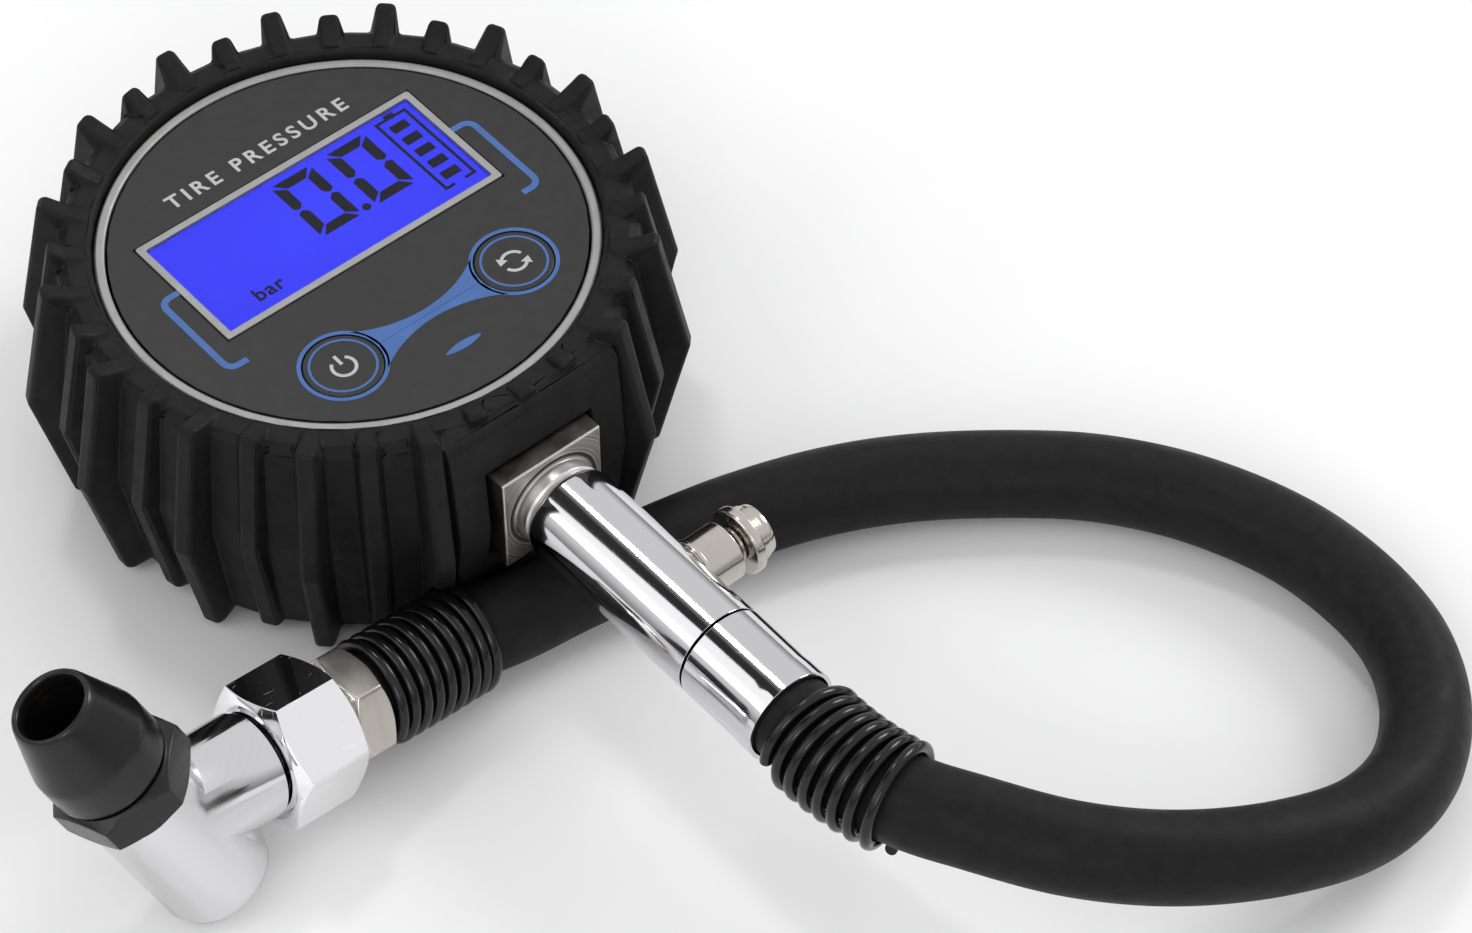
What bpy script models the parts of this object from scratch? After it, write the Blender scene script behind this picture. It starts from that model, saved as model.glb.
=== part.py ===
"""Digital tire pressure gauge: a round head in a ribbed rubber boot, a chromed stem with a bleeder
valve, and a hose with a swivel chuck. The head lies on its back, the face looks along +Z, the stem
runs along -Y and the origin is the middle of the boot's back face. Constants are in millimetres."""

import math

import bmesh
import bpy
from mathutils import Matrix, Vector

MM = 0.001
GAP = 0.3

# Head
BOOT_IN_R = 31.3
BOOT_LIP_R = 30.3
BOOT_FLOOR_Z = 1.6
BOOT_TOP_Z = 34.2
BOOT_SEGMENTS = 48
RIB_PITCH = math.radians(22.5)
RIB_TOP = (36.9, 36.4)
RIB_MID = (40.5, 18.4)
RIB_LOW = (36.6, 1.5)
SMALL_RIB_TOP = (35.3, 36.1)
SMALL_RIB_MID = (38.5, 20.0)
SMALL_RIB_LOW = (35.0, 2.2)
RIB_CROWN = 0.85
RIB_SHOULDER = 1.2
RIB_FOOT = 2.0
PANEL_HALF = 12.4
CASE_R = BOOT_IN_R - GAP
CASE_IN_R = CASE_R - 2.2
CASE_TOP_Z = 31.3
FACE_Z = 33.0
FACE_R = 28.45
RING_IN_R = 28.75
RING_R = 30.0
PLATE_TOP_Z = 32.2
PLATE_LOW_Z = 30.6
LCD_HALF_X = 20.3
LCD_LOW_Y = -3.7
LCD_TOP_Y = 14.85
LCD_RIM = 0.9
BUTTON_X = 12.65
BUTTON_Y = -15.5
BUTTON_R = 4.75
BUTTON_TRAVEL = 0.5
BOARD_LOW_Z = 24.4
BOARD_TOP_Z = 26.0
BOARD_R = 26.8
COVER_LOW_Z = 2.0
COVER_TOP_Z = 4.2
CELL_R = 5.25
CELL_Y = CELL_R + 0.25
CELL_Z = COVER_TOP_Z + CELL_R + 0.75
CELL_HALF = 21.6
TRAY_X = CELL_HALF + 2.4
TRAY_Y = 2 * CELL_R + 0.7
TRAY_WALL = 1.2
TRAY_CEILING_Z = CELL_Z + CELL_R + 0.85
BUZZER_LOW_Z = TRAY_CEILING_Z + TRAY_WALL + 1.9
SCREW_XY = 18.5

# Stem, along -Y; its lengths are distances from the head's axis
STEM_Z = 19.85
BLOCK_HALF = 7.25
BLOCK_FRONT = 37.8
BLOCK_BACK = 31.5
NIPPLE_R = 5.75
NIPPLE_END = 25.6
NECK_R = 5.6
NECK_END = 39.6
STEM_R = 6.05
BODY_START = NECK_END + GAP
BODY_END = 67.7
SPIGOT_R = 3.6
SPIGOT_END = 46.0
PASSAGE_R = 1.6
HOSE_R = 5.35
HOSE_BORE_R = HOSE_R + 0.28
FERRULE_START = BODY_END + GAP
FERRULE_END = 80.0
FERRULE_R = HOSE_BORE_R + 0.52
HOSE_START = 70.8

# Bleeder valve, along +X from the stem's axis
BLEED_Y = 56.8
BARREL_R = 3.68
BARREL_END = 10.1
BARREL_BORE_R = 2.95
BARREL_FLOOR = 7.3
COLLAR_START = 11.6
COLLAR_END = 12.7
COLLAR_R = 4.3
CAP_R = 3.6
CAP_END = 15.3
PIN_R = 0.95

# Hose guards
WIRE_R = 0.66
GUARD_GAP = 0.15
GUARD_R = HOSE_R + GUARD_GAP + WIRE_R
GUARD_PITCH = 1.85
STEM_GUARD = (82.9, 97.4)
CHUCK_GUARD = (30.5, 46.3)

# Chuck: the two axes meet at CHUCK_C
CHUCK_C = Vector((-60.1, -42.3, 15.1))
NOSE_AXIS = Vector((-0.3448, 0.2337, 0.9091)).normalized()
TUBE_AXIS = Vector((0.9829, 0.0644, -0.1722)).normalized()
TIP = 24.1
NOSE_R = 7.14
NOSE_TIP_R = 4.95
MOUTH_R = 4.37
CONE_END = TIP - 7.8
COLLAR_TOP = TIP - 13.0
COLLAR_LOW = TIP - 18.0
CHUCK_COLLAR_R = 8.5
COLLAR_TURN = math.radians(17)
CHUCK_R = 6.85
CHUCK_END = TIP - 38.0
TUBE_R = 6.7
HEX_START = 13.65
HEX_END = 24.0
HEX_R = 9.22
HEX_TURN = math.radians(-15)
NUT_START = HEX_END + GAP
NUT_END = 29.4
NUT_R = HOSE_BORE_R + 1.87
PLUNGER_TRAVEL = 2.0

# Hose route from the stem's ferrule, down to the surface and round to the chuck
ROUTE = (
    (0.0, -70.8, 19.85),
    (0.0, -80.0, 19.85),
    (0.2, -89.0, 19.95),
    (1.9, -97.0, 20.1),
    (5.8, -103.8, 19.6),
    (12.6, -112.8, 18.0),
    (21.5, -119.8, 15.6),
    (33.0, -125.2, 12.8),
    (44.9, -127.3, 9.6),
    (55.6, -124.9, 7.2),
    (64.6, -117.9, 5.9),
    (69.7, -108.4, 5.55),
    (70.5, -93.7, 5.55),
    (66.3, -79.9, 5.55),
    (59.3, -68.9, 5.55),
    (50.7, -60.6, 5.55),
    (40.8, -53.2, 5.55),
    (32.0, -48.6, 5.6),
    (22.3, -45.2, 5.7),
    (14.0, -43.3, 5.9),
    (6.0, -41.9, 6.0),
    (-1.0, -40.8, 6.1),
    (-8.0, -40.1, 6.4),
)
HOSE_POINTS = 72
HOSE_END = 26.2

PARTS = "tire_pressure_gauge"
CUTTERS = "cutters"


def reset():
    for obj in list(bpy.data.objects):
        bpy.data.objects.remove(obj, do_unlink=True)
    for name in (PARTS, CUTTERS):
        bpy.context.scene.collection.children.link(bpy.data.collections.new(name))
    bpy.data.collections[CUTTERS].hide_render = True


def material(name, colour, rough, metal=0.0, alpha=1.0):
    found = bpy.data.materials.get(name)
    if found:
        return found
    made = bpy.data.materials.new(name)
    made.use_nodes = True
    shader = made.node_tree.nodes["Principled BSDF"]
    shader.inputs["Base Color"].default_value = (*colour, 1.0)
    shader.inputs["Roughness"].default_value = rough
    shader.inputs["Metallic"].default_value = metal
    shader.inputs["Alpha"].default_value = alpha
    made.diffuse_color = (*colour, alpha)
    return made


RUBBER = ("boot_rubber", (0.022, 0.022, 0.023), 0.65)
BLACK_PLASTIC = ("black_plastic", (0.03, 0.03, 0.032), 0.45)
CASE_PLASTIC = ("case_plastic", (0.02, 0.02, 0.022), 0.5)
GRAPHIC = ("face_graphic", (0.05, 0.05, 0.052), 0.35)
PAD = ("button_pad", (0.05, 0.05, 0.052), 0.35)
SILVER = ("silver_trim", (0.55, 0.55, 0.56), 0.3, 0.6)
SILVER_FRAME = ("window_trim", (0.55, 0.55, 0.56), 0.3, 0.6)
CLEAR = ("clear_window", (0.9, 0.93, 1.0), 0.05, 0.0, 0.3)
DISPLAY = ("display_glass", (0.02, 0.03, 0.9), 0.2)
LIGHT_GUIDE = ("light_guide", (0.8, 0.8, 0.85), 0.4)
BOARD = ("circuit_laminate", (0.02, 0.18, 0.06), 0.4)
CHIP = ("chip_epoxy", (0.02, 0.02, 0.02), 0.5)
BUZZER = ("buzzer_can", (0.03, 0.03, 0.03), 0.35)
SWITCH = ("switch_body", (0.08, 0.08, 0.08), 0.4)
CELL = ("cell_sleeve", (0.25, 0.25, 0.28), 0.35, 0.5)
CONTACT = ("contact_steel", (0.7, 0.7, 0.68), 0.3, 1.0)
SCREW_STEEL = ("screw_steel", (0.5, 0.5, 0.5), 0.35, 1.0)
SENSOR = ("sensor_steel", (0.6, 0.6, 0.6), 0.3, 1.0)
SEAL = ("seal_rubber", (0.03, 0.03, 0.03), 0.6)
BLOCK = ("machined_brass", (0.4, 0.36, 0.3), 0.35, 1.0)
CHROME = ("chrome_plate", (0.75, 0.75, 0.76), 0.08, 1.0)
NICKEL = ("nickel_plate", (0.68, 0.65, 0.6), 0.22, 1.0)
SPRING_STEEL = ("spring_steel", (0.6, 0.6, 0.58), 0.25, 1.0)
GUARD = ("guard_enamel", (0.02, 0.02, 0.02), 0.25)
HOSE = ("hose_rubber", (0.025, 0.025, 0.026), 0.6)
NOSE = ("nose_black", (0.02, 0.02, 0.022), 0.35)
BRASS = ("brass", (0.75, 0.55, 0.25), 0.25, 1.0)

HEAD_FRAME = Matrix.Identity(4)
STEM_FRAME = Matrix.Translation((0, 0, STEM_Z)) @ Matrix.Rotation(math.pi / 2, 4, "X")
BLEED_FRAME = Matrix.Translation((0, -BLEED_Y, STEM_Z)) @ Matrix.Rotation(math.pi / 2, 4, "Y")


def axis_frame(origin, axis):
    turn = Vector((0, 0, 1)).rotation_difference(axis)
    return Matrix.Translation(origin) @ turn.to_matrix().to_4x4()


NOSE_FRAME = axis_frame(CHUCK_C, NOSE_AXIS)
TUBE_FRAME = axis_frame(CHUCK_C, TUBE_AXIS)


def add(name, data, frame, finish):
    """Places an object by a frame in millimetres; a piece with no finish is a cutter or a helper."""
    obj = bpy.data.objects.new(name, data)
    bpy.data.collections[PARTS if finish else CUTTERS].objects.link(obj)
    obj.location = frame.translation * MM
    obj.rotation_mode = "QUATERNION"
    obj.rotation_quaternion = frame.to_quaternion()
    if finish:
        data.materials.append(material(*finish))
    else:
        obj.hide_render = True
        obj.display_type = "WIRE"
    return obj


def mesh_of(name, points, edges=(), faces=()):
    mesh = bpy.data.meshes.new(name)
    mesh.from_pydata([tuple(v * MM for v in p) for p in points], list(edges), list(faces))
    return mesh


def lathe(name, profile, frame=HEAD_FRAME, finish=None, closed=True, steps=28, smooth=True):
    """Turns a profile of (radius, height) about the frame's Z; its outer side runs downwards."""
    count = len(profile)
    edges = [(i, i + 1) for i in range(count - 1)]
    if closed:
        edges.append((count - 1, 0))
    mesh = mesh_of(name, [(r, 0, z) for r, z in profile], edges)
    obj = add(name, mesh, frame, finish)
    screw = obj.modifiers.new("turn", "SCREW")
    screw.axis = "Z"
    screw.angle = 2 * math.pi
    screw.steps = steps
    screw.render_steps = steps
    screw.use_merge_vertices = True
    screw.merge_threshold = 0.00001
    screw.use_smooth_shade = smooth
    return obj


def ring(name, r_in, r_out, low, high, frame=HEAD_FRAME, finish=None, steps=28, edge=0.0):
    profile = [
        (r_in, high),
        (r_out - edge, high),
        (r_out, high - edge),
        (r_out, low + edge),
        (r_out - edge, low),
        (r_in, low),
    ]
    if edge == 0.0:
        profile = [(r_in, high), (r_out, high), (r_out, low), (r_in, low)]
    return lathe(name, profile, frame, finish, True, steps)


def disc(name, radius, low, high, frame=HEAD_FRAME, finish=None, steps=28, edge=0.0):
    profile = [(0, high), (radius - edge, high), (radius, high - edge)]
    profile += [(radius, low + edge), (radius - edge, low), (0, low)]
    if edge == 0.0:
        profile = [(0, high), (radius, high), (radius, low), (0, low)]
    return lathe(name, profile, frame, finish, False, steps)


def box(name, low, high, frame=HEAD_FRAME, finish=None, bevel=0.0):
    bm = bmesh.new()
    bmesh.ops.create_cube(bm, size=1.0)
    size = [(b - a) * MM for a, b in zip(low, high)]
    middle = [(b + a) / 2 * MM for a, b in zip(low, high)]
    bmesh.ops.scale(bm, vec=size, verts=bm.verts)
    bmesh.ops.translate(bm, vec=middle, verts=bm.verts)
    mesh = bpy.data.meshes.new(name)
    bm.to_mesh(mesh)
    bm.free()
    obj = add(name, mesh, frame, finish)
    if bevel:
        soften(obj, bevel)
    return obj


def prism(name, sides, radius, low, high, frame, finish=None, turn=0.0):
    bm = bmesh.new()
    spin = Matrix.Rotation(turn, 4, "Z")
    shift = Matrix.Translation((0, 0, (low + high) / 2 * MM))
    bmesh.ops.create_cone(
        bm,
        cap_ends=True,
        segments=sides,
        radius1=radius * MM,
        radius2=radius * MM,
        depth=(high - low) * MM,
        matrix=shift @ spin,
    )
    mesh = bpy.data.meshes.new(name)
    bm.to_mesh(mesh)
    bm.free()
    return add(name, mesh, frame, finish)


def soften(obj, width, segments=1):
    bevel = obj.modifiers.new("soften", "BEVEL")
    bevel.width = width * MM
    bevel.segments = segments
    bevel.limit_method = "ANGLE"
    bevel.angle_limit = math.radians(40)


def boolean(obj, other, operation):
    step = obj.modifiers.new(other.name[:50], "BOOLEAN")
    step.object = other
    step.operation = operation
    step.solver = "EXACT"


def cut(obj, *others):
    for other in others:
        boolean(obj, other, "DIFFERENCE")


def join(obj, *others):
    for other in others:
        boolean(obj, other, "UNION")


def wire(name, points, radius, frame, finish, resolution=1):
    """A round wire or hose along a line of points in the frame."""
    curve = bpy.data.curves.new(name, "CURVE")
    curve.dimensions = "3D"
    curve.bevel_depth = radius * MM
    curve.bevel_resolution = resolution
    curve.use_fill_caps = True
    spline = curve.splines.new("POLY")
    spline.points.add(len(points) - 1)
    for target, point in zip(spline.points, points):
        target.co = (*[v * MM for v in point], 1.0)
    spline.use_smooth = True
    return add(name, curve, frame, finish)


def coil(name, radius, wire_r, low, high, pitch, frame, finish, per_turn=14):
    turns = (high - low) / pitch
    count = int(turns * per_turn)
    points = []
    for i in range(count + 1):
        angle = 2 * math.pi * turns * i / count
        points.append((radius * math.cos(angle), radius * math.sin(angle), low + (high - low) * i / count))
    return wire(name, points, wire_r, frame, finish)


def rib(points, faces, azimuth, outer, inner, foot_scale=1.0):
    """One raised rib: a crown line, a shoulder line just inside it and a foot line in the wall."""
    radial = Vector((math.cos(azimuth), math.sin(azimuth), 0))
    across = Vector((-math.sin(azimuth), math.cos(azimuth), 0))
    rows = []
    for (r, z), (r_in, z_in) in zip(outer, inner):
        inward = Vector((r_in - r, z_in - z)).normalized() * 0.4
        levels = (
            (r, z, RIB_CROWN),
            (r + inward.x, z + inward.y, RIB_SHOULDER),
            (r_in, z_in, RIB_FOOT * foot_scale),
        )
        row = []
        for side in (-1, 1):
            for radius, height, half in levels[::side]:
                point = radial * radius + across * half * side * -1 + Vector((0, 0, height))
                points.append(tuple(point))
                row.append(len(points) - 1)
        rows.append(row)
    for one, two in zip(rows, rows[1:]):
        for k in range(6):
            faces.append((one[k], one[(k + 1) % 6], two[(k + 1) % 6], two[k]))
    faces.append(tuple(reversed(rows[0])))
    faces.append(tuple(rows[-1]))


def rib_lines(top, mid, low):
    outer = (
        (31.0, 34.4),
        (33.3, 35.1),
        (top[0] - 0.5, top[1]),
        (top[0], top[1] - 0.5),
        mid,
        low,
        (low[0] - 0.6, low[1] - 0.6),
        (32.3, 0.6),
    )
    inner = (
        (31.8, 33.2),
        (33.0, 33.0),
        (33.2, 32.8),
        (33.4, 32.3),
        (35.2, mid[1]),
        (33.0, 3.4),
        (32.6, 2.8),
        (31.9, 2.0),
    )
    return outer, inner


def build_boot():
    profile = [
        (0, BOOT_FLOOR_Z),
        (BOOT_IN_R, BOOT_FLOOR_Z),
        (BOOT_IN_R, CASE_TOP_Z + 0.5),
        (BOOT_LIP_R, CASE_TOP_Z + 0.8),
        (BOOT_LIP_R, BOOT_TOP_Z - 0.4),
        (BOOT_LIP_R + 0.4, BOOT_TOP_Z),
        (33.2, BOOT_TOP_Z),
        (34.4, 33.4),
        (36.4, 19.0),
        (34.0, 2.6),
        (32.6, 0.8),
        (31.0, 0.0),
        (0, 0.0),
    ]
    boot = lathe("rubber_boot", profile, HEAD_FRAME, RUBBER, False, BOOT_SEGMENTS)
    points = []
    faces = []
    for step in range(16):
        large = step * RIB_PITCH
        small = large + RIB_PITCH / 2
        if step != 12:
            rib(points, faces, large, *rib_lines(RIB_TOP, RIB_MID, RIB_LOW))
        if step not in (11, 12):
            rib(points, faces, small, *rib_lines(SMALL_RIB_TOP, SMALL_RIB_MID, SMALL_RIB_LOW))
    for offset in (-0.5, 0.0, 0.5):
        azimuth = 12 * RIB_PITCH + offset * RIB_PITCH
        outer = ((31.0, 34.4), (32.4, 35.0), (33.5, 35.3), (34.1, 34.9))
        inner = ((31.8, 33.2), (32.4, 33.1), (33.0, 33.0), (33.3, 32.8))
        rib(points, faces, azimuth, outer, inner, 0.8)
    ribs = add("boot_ribs", mesh_of("boot_ribs", points, (), faces), HEAD_FRAME, None)
    side = [(-31.9, 34.0), (-34.2, 34.0), (-34.9, 33.2), (-35.6, 27.0), (-36.1, 18.8)]
    side += [(-34.5, 8.0), (-33.7, 2.0), (-33.0, 1.0), (-31.9, 1.0)]
    points = [(x, y, z) for x in (-PANEL_HALF, PANEL_HALF) for y, z in side]
    count = len(side)
    faces = [tuple(reversed(range(count))), tuple(range(count, 2 * count))]
    faces += [(i, (i + 1) % count, (i + 1) % count + count, i + count) for i in range(count)]
    panel = add("boot_panel", mesh_of("boot_panel", points, (), faces), HEAD_FRAME, None)
    half = BLOCK_HALF + 0.55
    notch = box("boot_notch", (-half, -45, STEM_Z - half), (half, -28, STEM_Z + half))
    pressed = disc("boot_guard_relief", GUARD_R + WIRE_R + 0.35, 24.0, 48.0, TUBE_FRAME, steps=36)
    touched = disc("boot_hose_relief", HOSE_R + 0.35, 47.0, 56.0, TUBE_FRAME, steps=36)
    join(boot, ribs, panel)
    cut(boot, notch, pressed, touched)


def build_case():
    profile = [
        (CASE_IN_R, CASE_TOP_Z),
        (CASE_R, CASE_TOP_Z),
        (CASE_R, COVER_TOP_Z + GAP),
        (CASE_IN_R, COVER_TOP_Z + GAP),
        (CASE_IN_R, 21.0),
        (BOARD_R, 23.0),
        (BOARD_R, BOARD_LOW_Z - GAP),
        (CASE_IN_R, BOARD_LOW_Z - GAP),
    ]
    case = lathe("case_body", profile, finish=CASE_PLASTIC, steps=40)
    for i, (sx, sy) in enumerate(((1, 1), (-1, 1), (-1, -1), (1, -1))):
        frame = Matrix.Translation((SCREW_XY * sx, SCREW_XY * sy, 0))
        boss = disc(f"case_boss_{i}", 3.0, COVER_TOP_Z + GAP + 0.1, 20.0, frame, steps=16)
        join(case, boss)
        hole = disc(f"case_hole_{i}", 1.15, 2.0, 16.0, frame, steps=12)
        cut(case, hole)
    stem_hole = disc("case_stem_hole", NIPPLE_R + 0.4, 22.0, 36.0, STEM_FRAME, steps=24)
    cut(case, stem_hole)
    cover = disc("back_cover", CASE_R - 0.1, COVER_LOW_Z, COVER_TOP_Z, finish=CASE_PLASTIC, steps=40)
    wall_x = TRAY_X + TRAY_WALL
    wall_y = TRAY_Y + TRAY_WALL
    tray = box("cover_tray", (-wall_x, -wall_y, 3.0), (wall_x, wall_y, TRAY_CEILING_Z + TRAY_WALL))
    boss = disc("cover_boss", 2.6, 3.2, 9.0, Matrix.Translation((0, 14.3, 0)), steps=16)
    room = box("cover_room", (-TRAY_X, -TRAY_Y, -1.0), (TRAY_X, TRAY_Y, TRAY_CEILING_Z))
    tab = box("cover_tab_room", (-4.0, 10.0, -1.0), (4.0, 16.9, 3.8))
    hole = disc("cover_door_hole", 1.2, 0.0, 8.2, Matrix.Translation((0, 14.3, 0)), steps=12)
    join(cover, tray, boss)
    cut(cover, room, tab, hole)
    for i, (sx, sy) in enumerate(((1, 1), (-1, 1), (-1, -1), (1, -1))):
        frame = Matrix.Translation((SCREW_XY * sx, SCREW_XY * sy, 0))
        cut(cover, disc(f"cover_hole_{i}", 1.35, 1.0, 6.0, frame, steps=12))
        cut(cover, disc(f"cover_sink_{i}", 2.5, 1.0, 3.2, frame, steps=16))
        head = [(0, 14.0), (0.85, 14.0), (0.85, 2.9), (2.2, 2.9), (2.2, 2.5), (1.7, 2.1), (0, 2.1)]
        screw = lathe(f"case_screw_{i + 1}", head, frame, SCREW_STEEL, False, 12)
        slot = box(f"screw_slot_{i}", (-1.3, -0.25, 1.4), (1.3, 0.25, 2.5), frame)
        cross = box(f"screw_cross_{i}", (-0.25, -1.3, 1.4), (0.25, 1.3, 2.5), frame)
        cut(screw, slot, cross)
    edge = GAP
    low = (-TRAY_X + edge, -TRAY_Y + edge, 1.9)
    door = box("battery_door", low, (TRAY_X - edge, TRAY_Y - edge, 3.4), finish=CASE_PLASTIC)
    door_tab = box("door_tab", (-3.7, 9.0, 1.9), (3.7, 16.6, 3.5))
    join(door, door_tab)
    screw_place = Matrix.Translation((0, 14.3, 0))
    cut(door, disc("door_tab_hole", 1.3, 0.0, 6.0, screw_place, steps=12))
    cut(door, disc("door_tab_sink", 2.2, 0.0, 2.9, screw_place, steps=16))
    for i in range(5):
        x = 12.0 + 1.8 * i
        cut(door, box(f"door_grip_{i}", (x, -5.0, 1.0), (x + 0.8, 5.0, 2.4)))
    head = [(0, 7.5), (0.85, 7.5), (0.85, 2.6), (1.9, 2.6), (1.9, 2.2), (1.5, 1.95), (0, 1.95)]
    screw = lathe("battery_door_screw", head, screw_place, SCREW_STEEL, False, 12)
    cut(screw, box("door_screw_slot", (-1.2, 14.05, 1.0), (1.2, 14.55, 2.3)))


def build_power():
    lie = Matrix.Rotation(math.pi / 2, 4, "Y")
    for i, y in enumerate((CELL_Y, -CELL_Y)):
        frame = Matrix.Translation((0, y, CELL_Z)) @ lie
        flip = 1 if i == 0 else -1
        side = [(0, CELL_HALF), (1.9, CELL_HALF), (1.9, CELL_HALF - 0.9), (4.9, CELL_HALF - 0.9)]
        side += [(CELL_R, CELL_HALF - 1.4), (CELL_R, -CELL_HALF + 0.4), (4.9, -CELL_HALF), (0, -CELL_HALF)]
        if flip < 0:
            side = [(r, -z) for r, z in reversed(side)]
        lathe(f"battery_{i + 1}", side, frame, CELL, False, 20)
    for name, sign in (("contact_plate", 1), ("contact_springs", -1)):
        x_in = 23.1 * sign
        x_out = 23.6 * sign
        low = (min(x_in, x_out), -10.4, 5.2)
        plate = box(name, low, (max(x_in, x_out), 10.4, 15.4), finish=CONTACT)
        for k, y in enumerate((CELL_Y, -CELL_Y)):
            turn = Matrix.Rotation(math.pi / 2 * -sign, 4, "Y")
            frame = Matrix.Translation((x_in + 0.2 * sign, y, CELL_Z)) @ turn
            bump = [(0, 1.25), (1.2, 1.25), (2.6, 0.0), (0, 0.0)]
            join(plate, lathe(f"{name}_bump_{k}", bump, frame, None, False, 16))


def build_face():
    ring_profile = [
        (RING_IN_R, FACE_Z),
        (RING_IN_R + 0.15, FACE_Z + 0.15),
        (RING_R - 0.15, FACE_Z + 0.15),
        (RING_R, FACE_Z),
        (RING_R, CASE_TOP_Z + GAP),
        (RING_IN_R, CASE_TOP_Z + GAP),
    ]
    lathe("bezel_ring", ring_profile, finish=SILVER, steps=48)
    hole_x = LCD_HALF_X + 0.25
    hole_low = LCD_LOW_Y - 0.25
    hole_top = LCD_TOP_Y + 0.25
    window = box("face_window_hole", (-hole_x, hole_low, 20), (hole_x, hole_top, 40))
    holes = []
    for i, x in enumerate((-BUTTON_X, BUTTON_X)):
        frame = Matrix.Translation((x, BUTTON_Y, 0))
        holes.append(disc(f"face_button_hole_{i}", BUTTON_R + 0.2, 20, 40, frame, steps=24))
    overlay = disc("face_overlay", FACE_R, PLATE_TOP_Z + GAP, FACE_Z, finish=GRAPHIC, steps=48)
    cut(overlay, window, *holes)
    plate = disc("face_plate", FACE_R, PLATE_LOW_Z, PLATE_TOP_Z, finish=BLACK_PLASTIC, steps=48)
    cut(plate, window, *holes)
    low = (-LCD_HALF_X, LCD_LOW_Y, 31.7)
    frame_box = box("lcd_frame", low, (LCD_HALF_X, LCD_TOP_Y, FACE_Z + 0.15), finish=SILVER_FRAME)
    inner_low = (-LCD_HALF_X + LCD_RIM, LCD_LOW_Y + LCD_RIM, 30)
    inner_high = (LCD_HALF_X - LCD_RIM, LCD_TOP_Y - LCD_RIM, 36)
    cut(frame_box, box("lcd_frame_hole", inner_low, inner_high))
    pane = GAP - 0.1
    low = (inner_low[0] + pane, inner_low[1] + pane, 31.9)
    box("lcd_window", low, (inner_high[0] - pane, inner_high[1] - pane, FACE_Z - 0.1), finish=CLEAR)
    box("lcd_panel", (-20.2, -3.6, 29.5), (20.2, 14.7, 31.4), finish=DISPLAY)
    box("backlight", (-20.2, -3.6, 26.8), (20.2, 14.7, 29.2), finish=LIGHT_GUIDE)
    for name, x in (("power_button", -BUTTON_X), ("function_button", BUTTON_X)):
        frame = Matrix.Translation((x, BUTTON_Y, 0))
        profile = [
            (0, FACE_Z + 0.05),
            (BUTTON_R - 0.15, FACE_Z + 0.05),
            (BUTTON_R, FACE_Z - 0.1),
            (BUTTON_R, PLATE_LOW_Z - GAP),
            (BUTTON_R + 0.9, PLATE_LOW_Z - GAP),
            (BUTTON_R + 0.9, 29.5),
            (1.6, 29.5),
            (1.6, 28.5),
            (0, 28.5),
        ]
        lathe(name, profile, frame, PAD, False, 24)
    for name, x in (("power_switch", -BUTTON_X), ("function_switch", BUTTON_X)):
        frame = Matrix.Translation((x, BUTTON_Y, 0))
        switch = box(name, (-2.6, -2.6, BOARD_TOP_Z + 0.1), (2.6, 2.6, 27.2), frame, SWITCH)
        join(switch, disc(f"{name}_top", 1.3, 27.0, 27.7, frame, steps=16))


def build_board():
    board = disc("circuit_board", BOARD_R, BOARD_LOW_Z, BOARD_TOP_Z, finish=BOARD, steps=36)
    cut(board, box("board_notch", (-7.2, -40, 20), (7.2, -16.6, 30)))
    high = BOARD_LOW_Z - 0.1
    box("controller_chip", (-6, 2, high - 1.5), (6, 14, high), finish=CHIP, bevel=0.2)
    frame = Matrix.Translation((16.0, -4.0, 0))
    low = BUZZER_LOW_Z
    mouth = [(1.0, low), (1.0, low + 1.2), (0, low + 1.2)]
    buzzer = [(0, high), (5.8, high), (5.8, low + 0.4), (5.4, low), *mouth]
    lathe("buzzer", buzzer, frame, BUZZER, False, 24)


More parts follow.
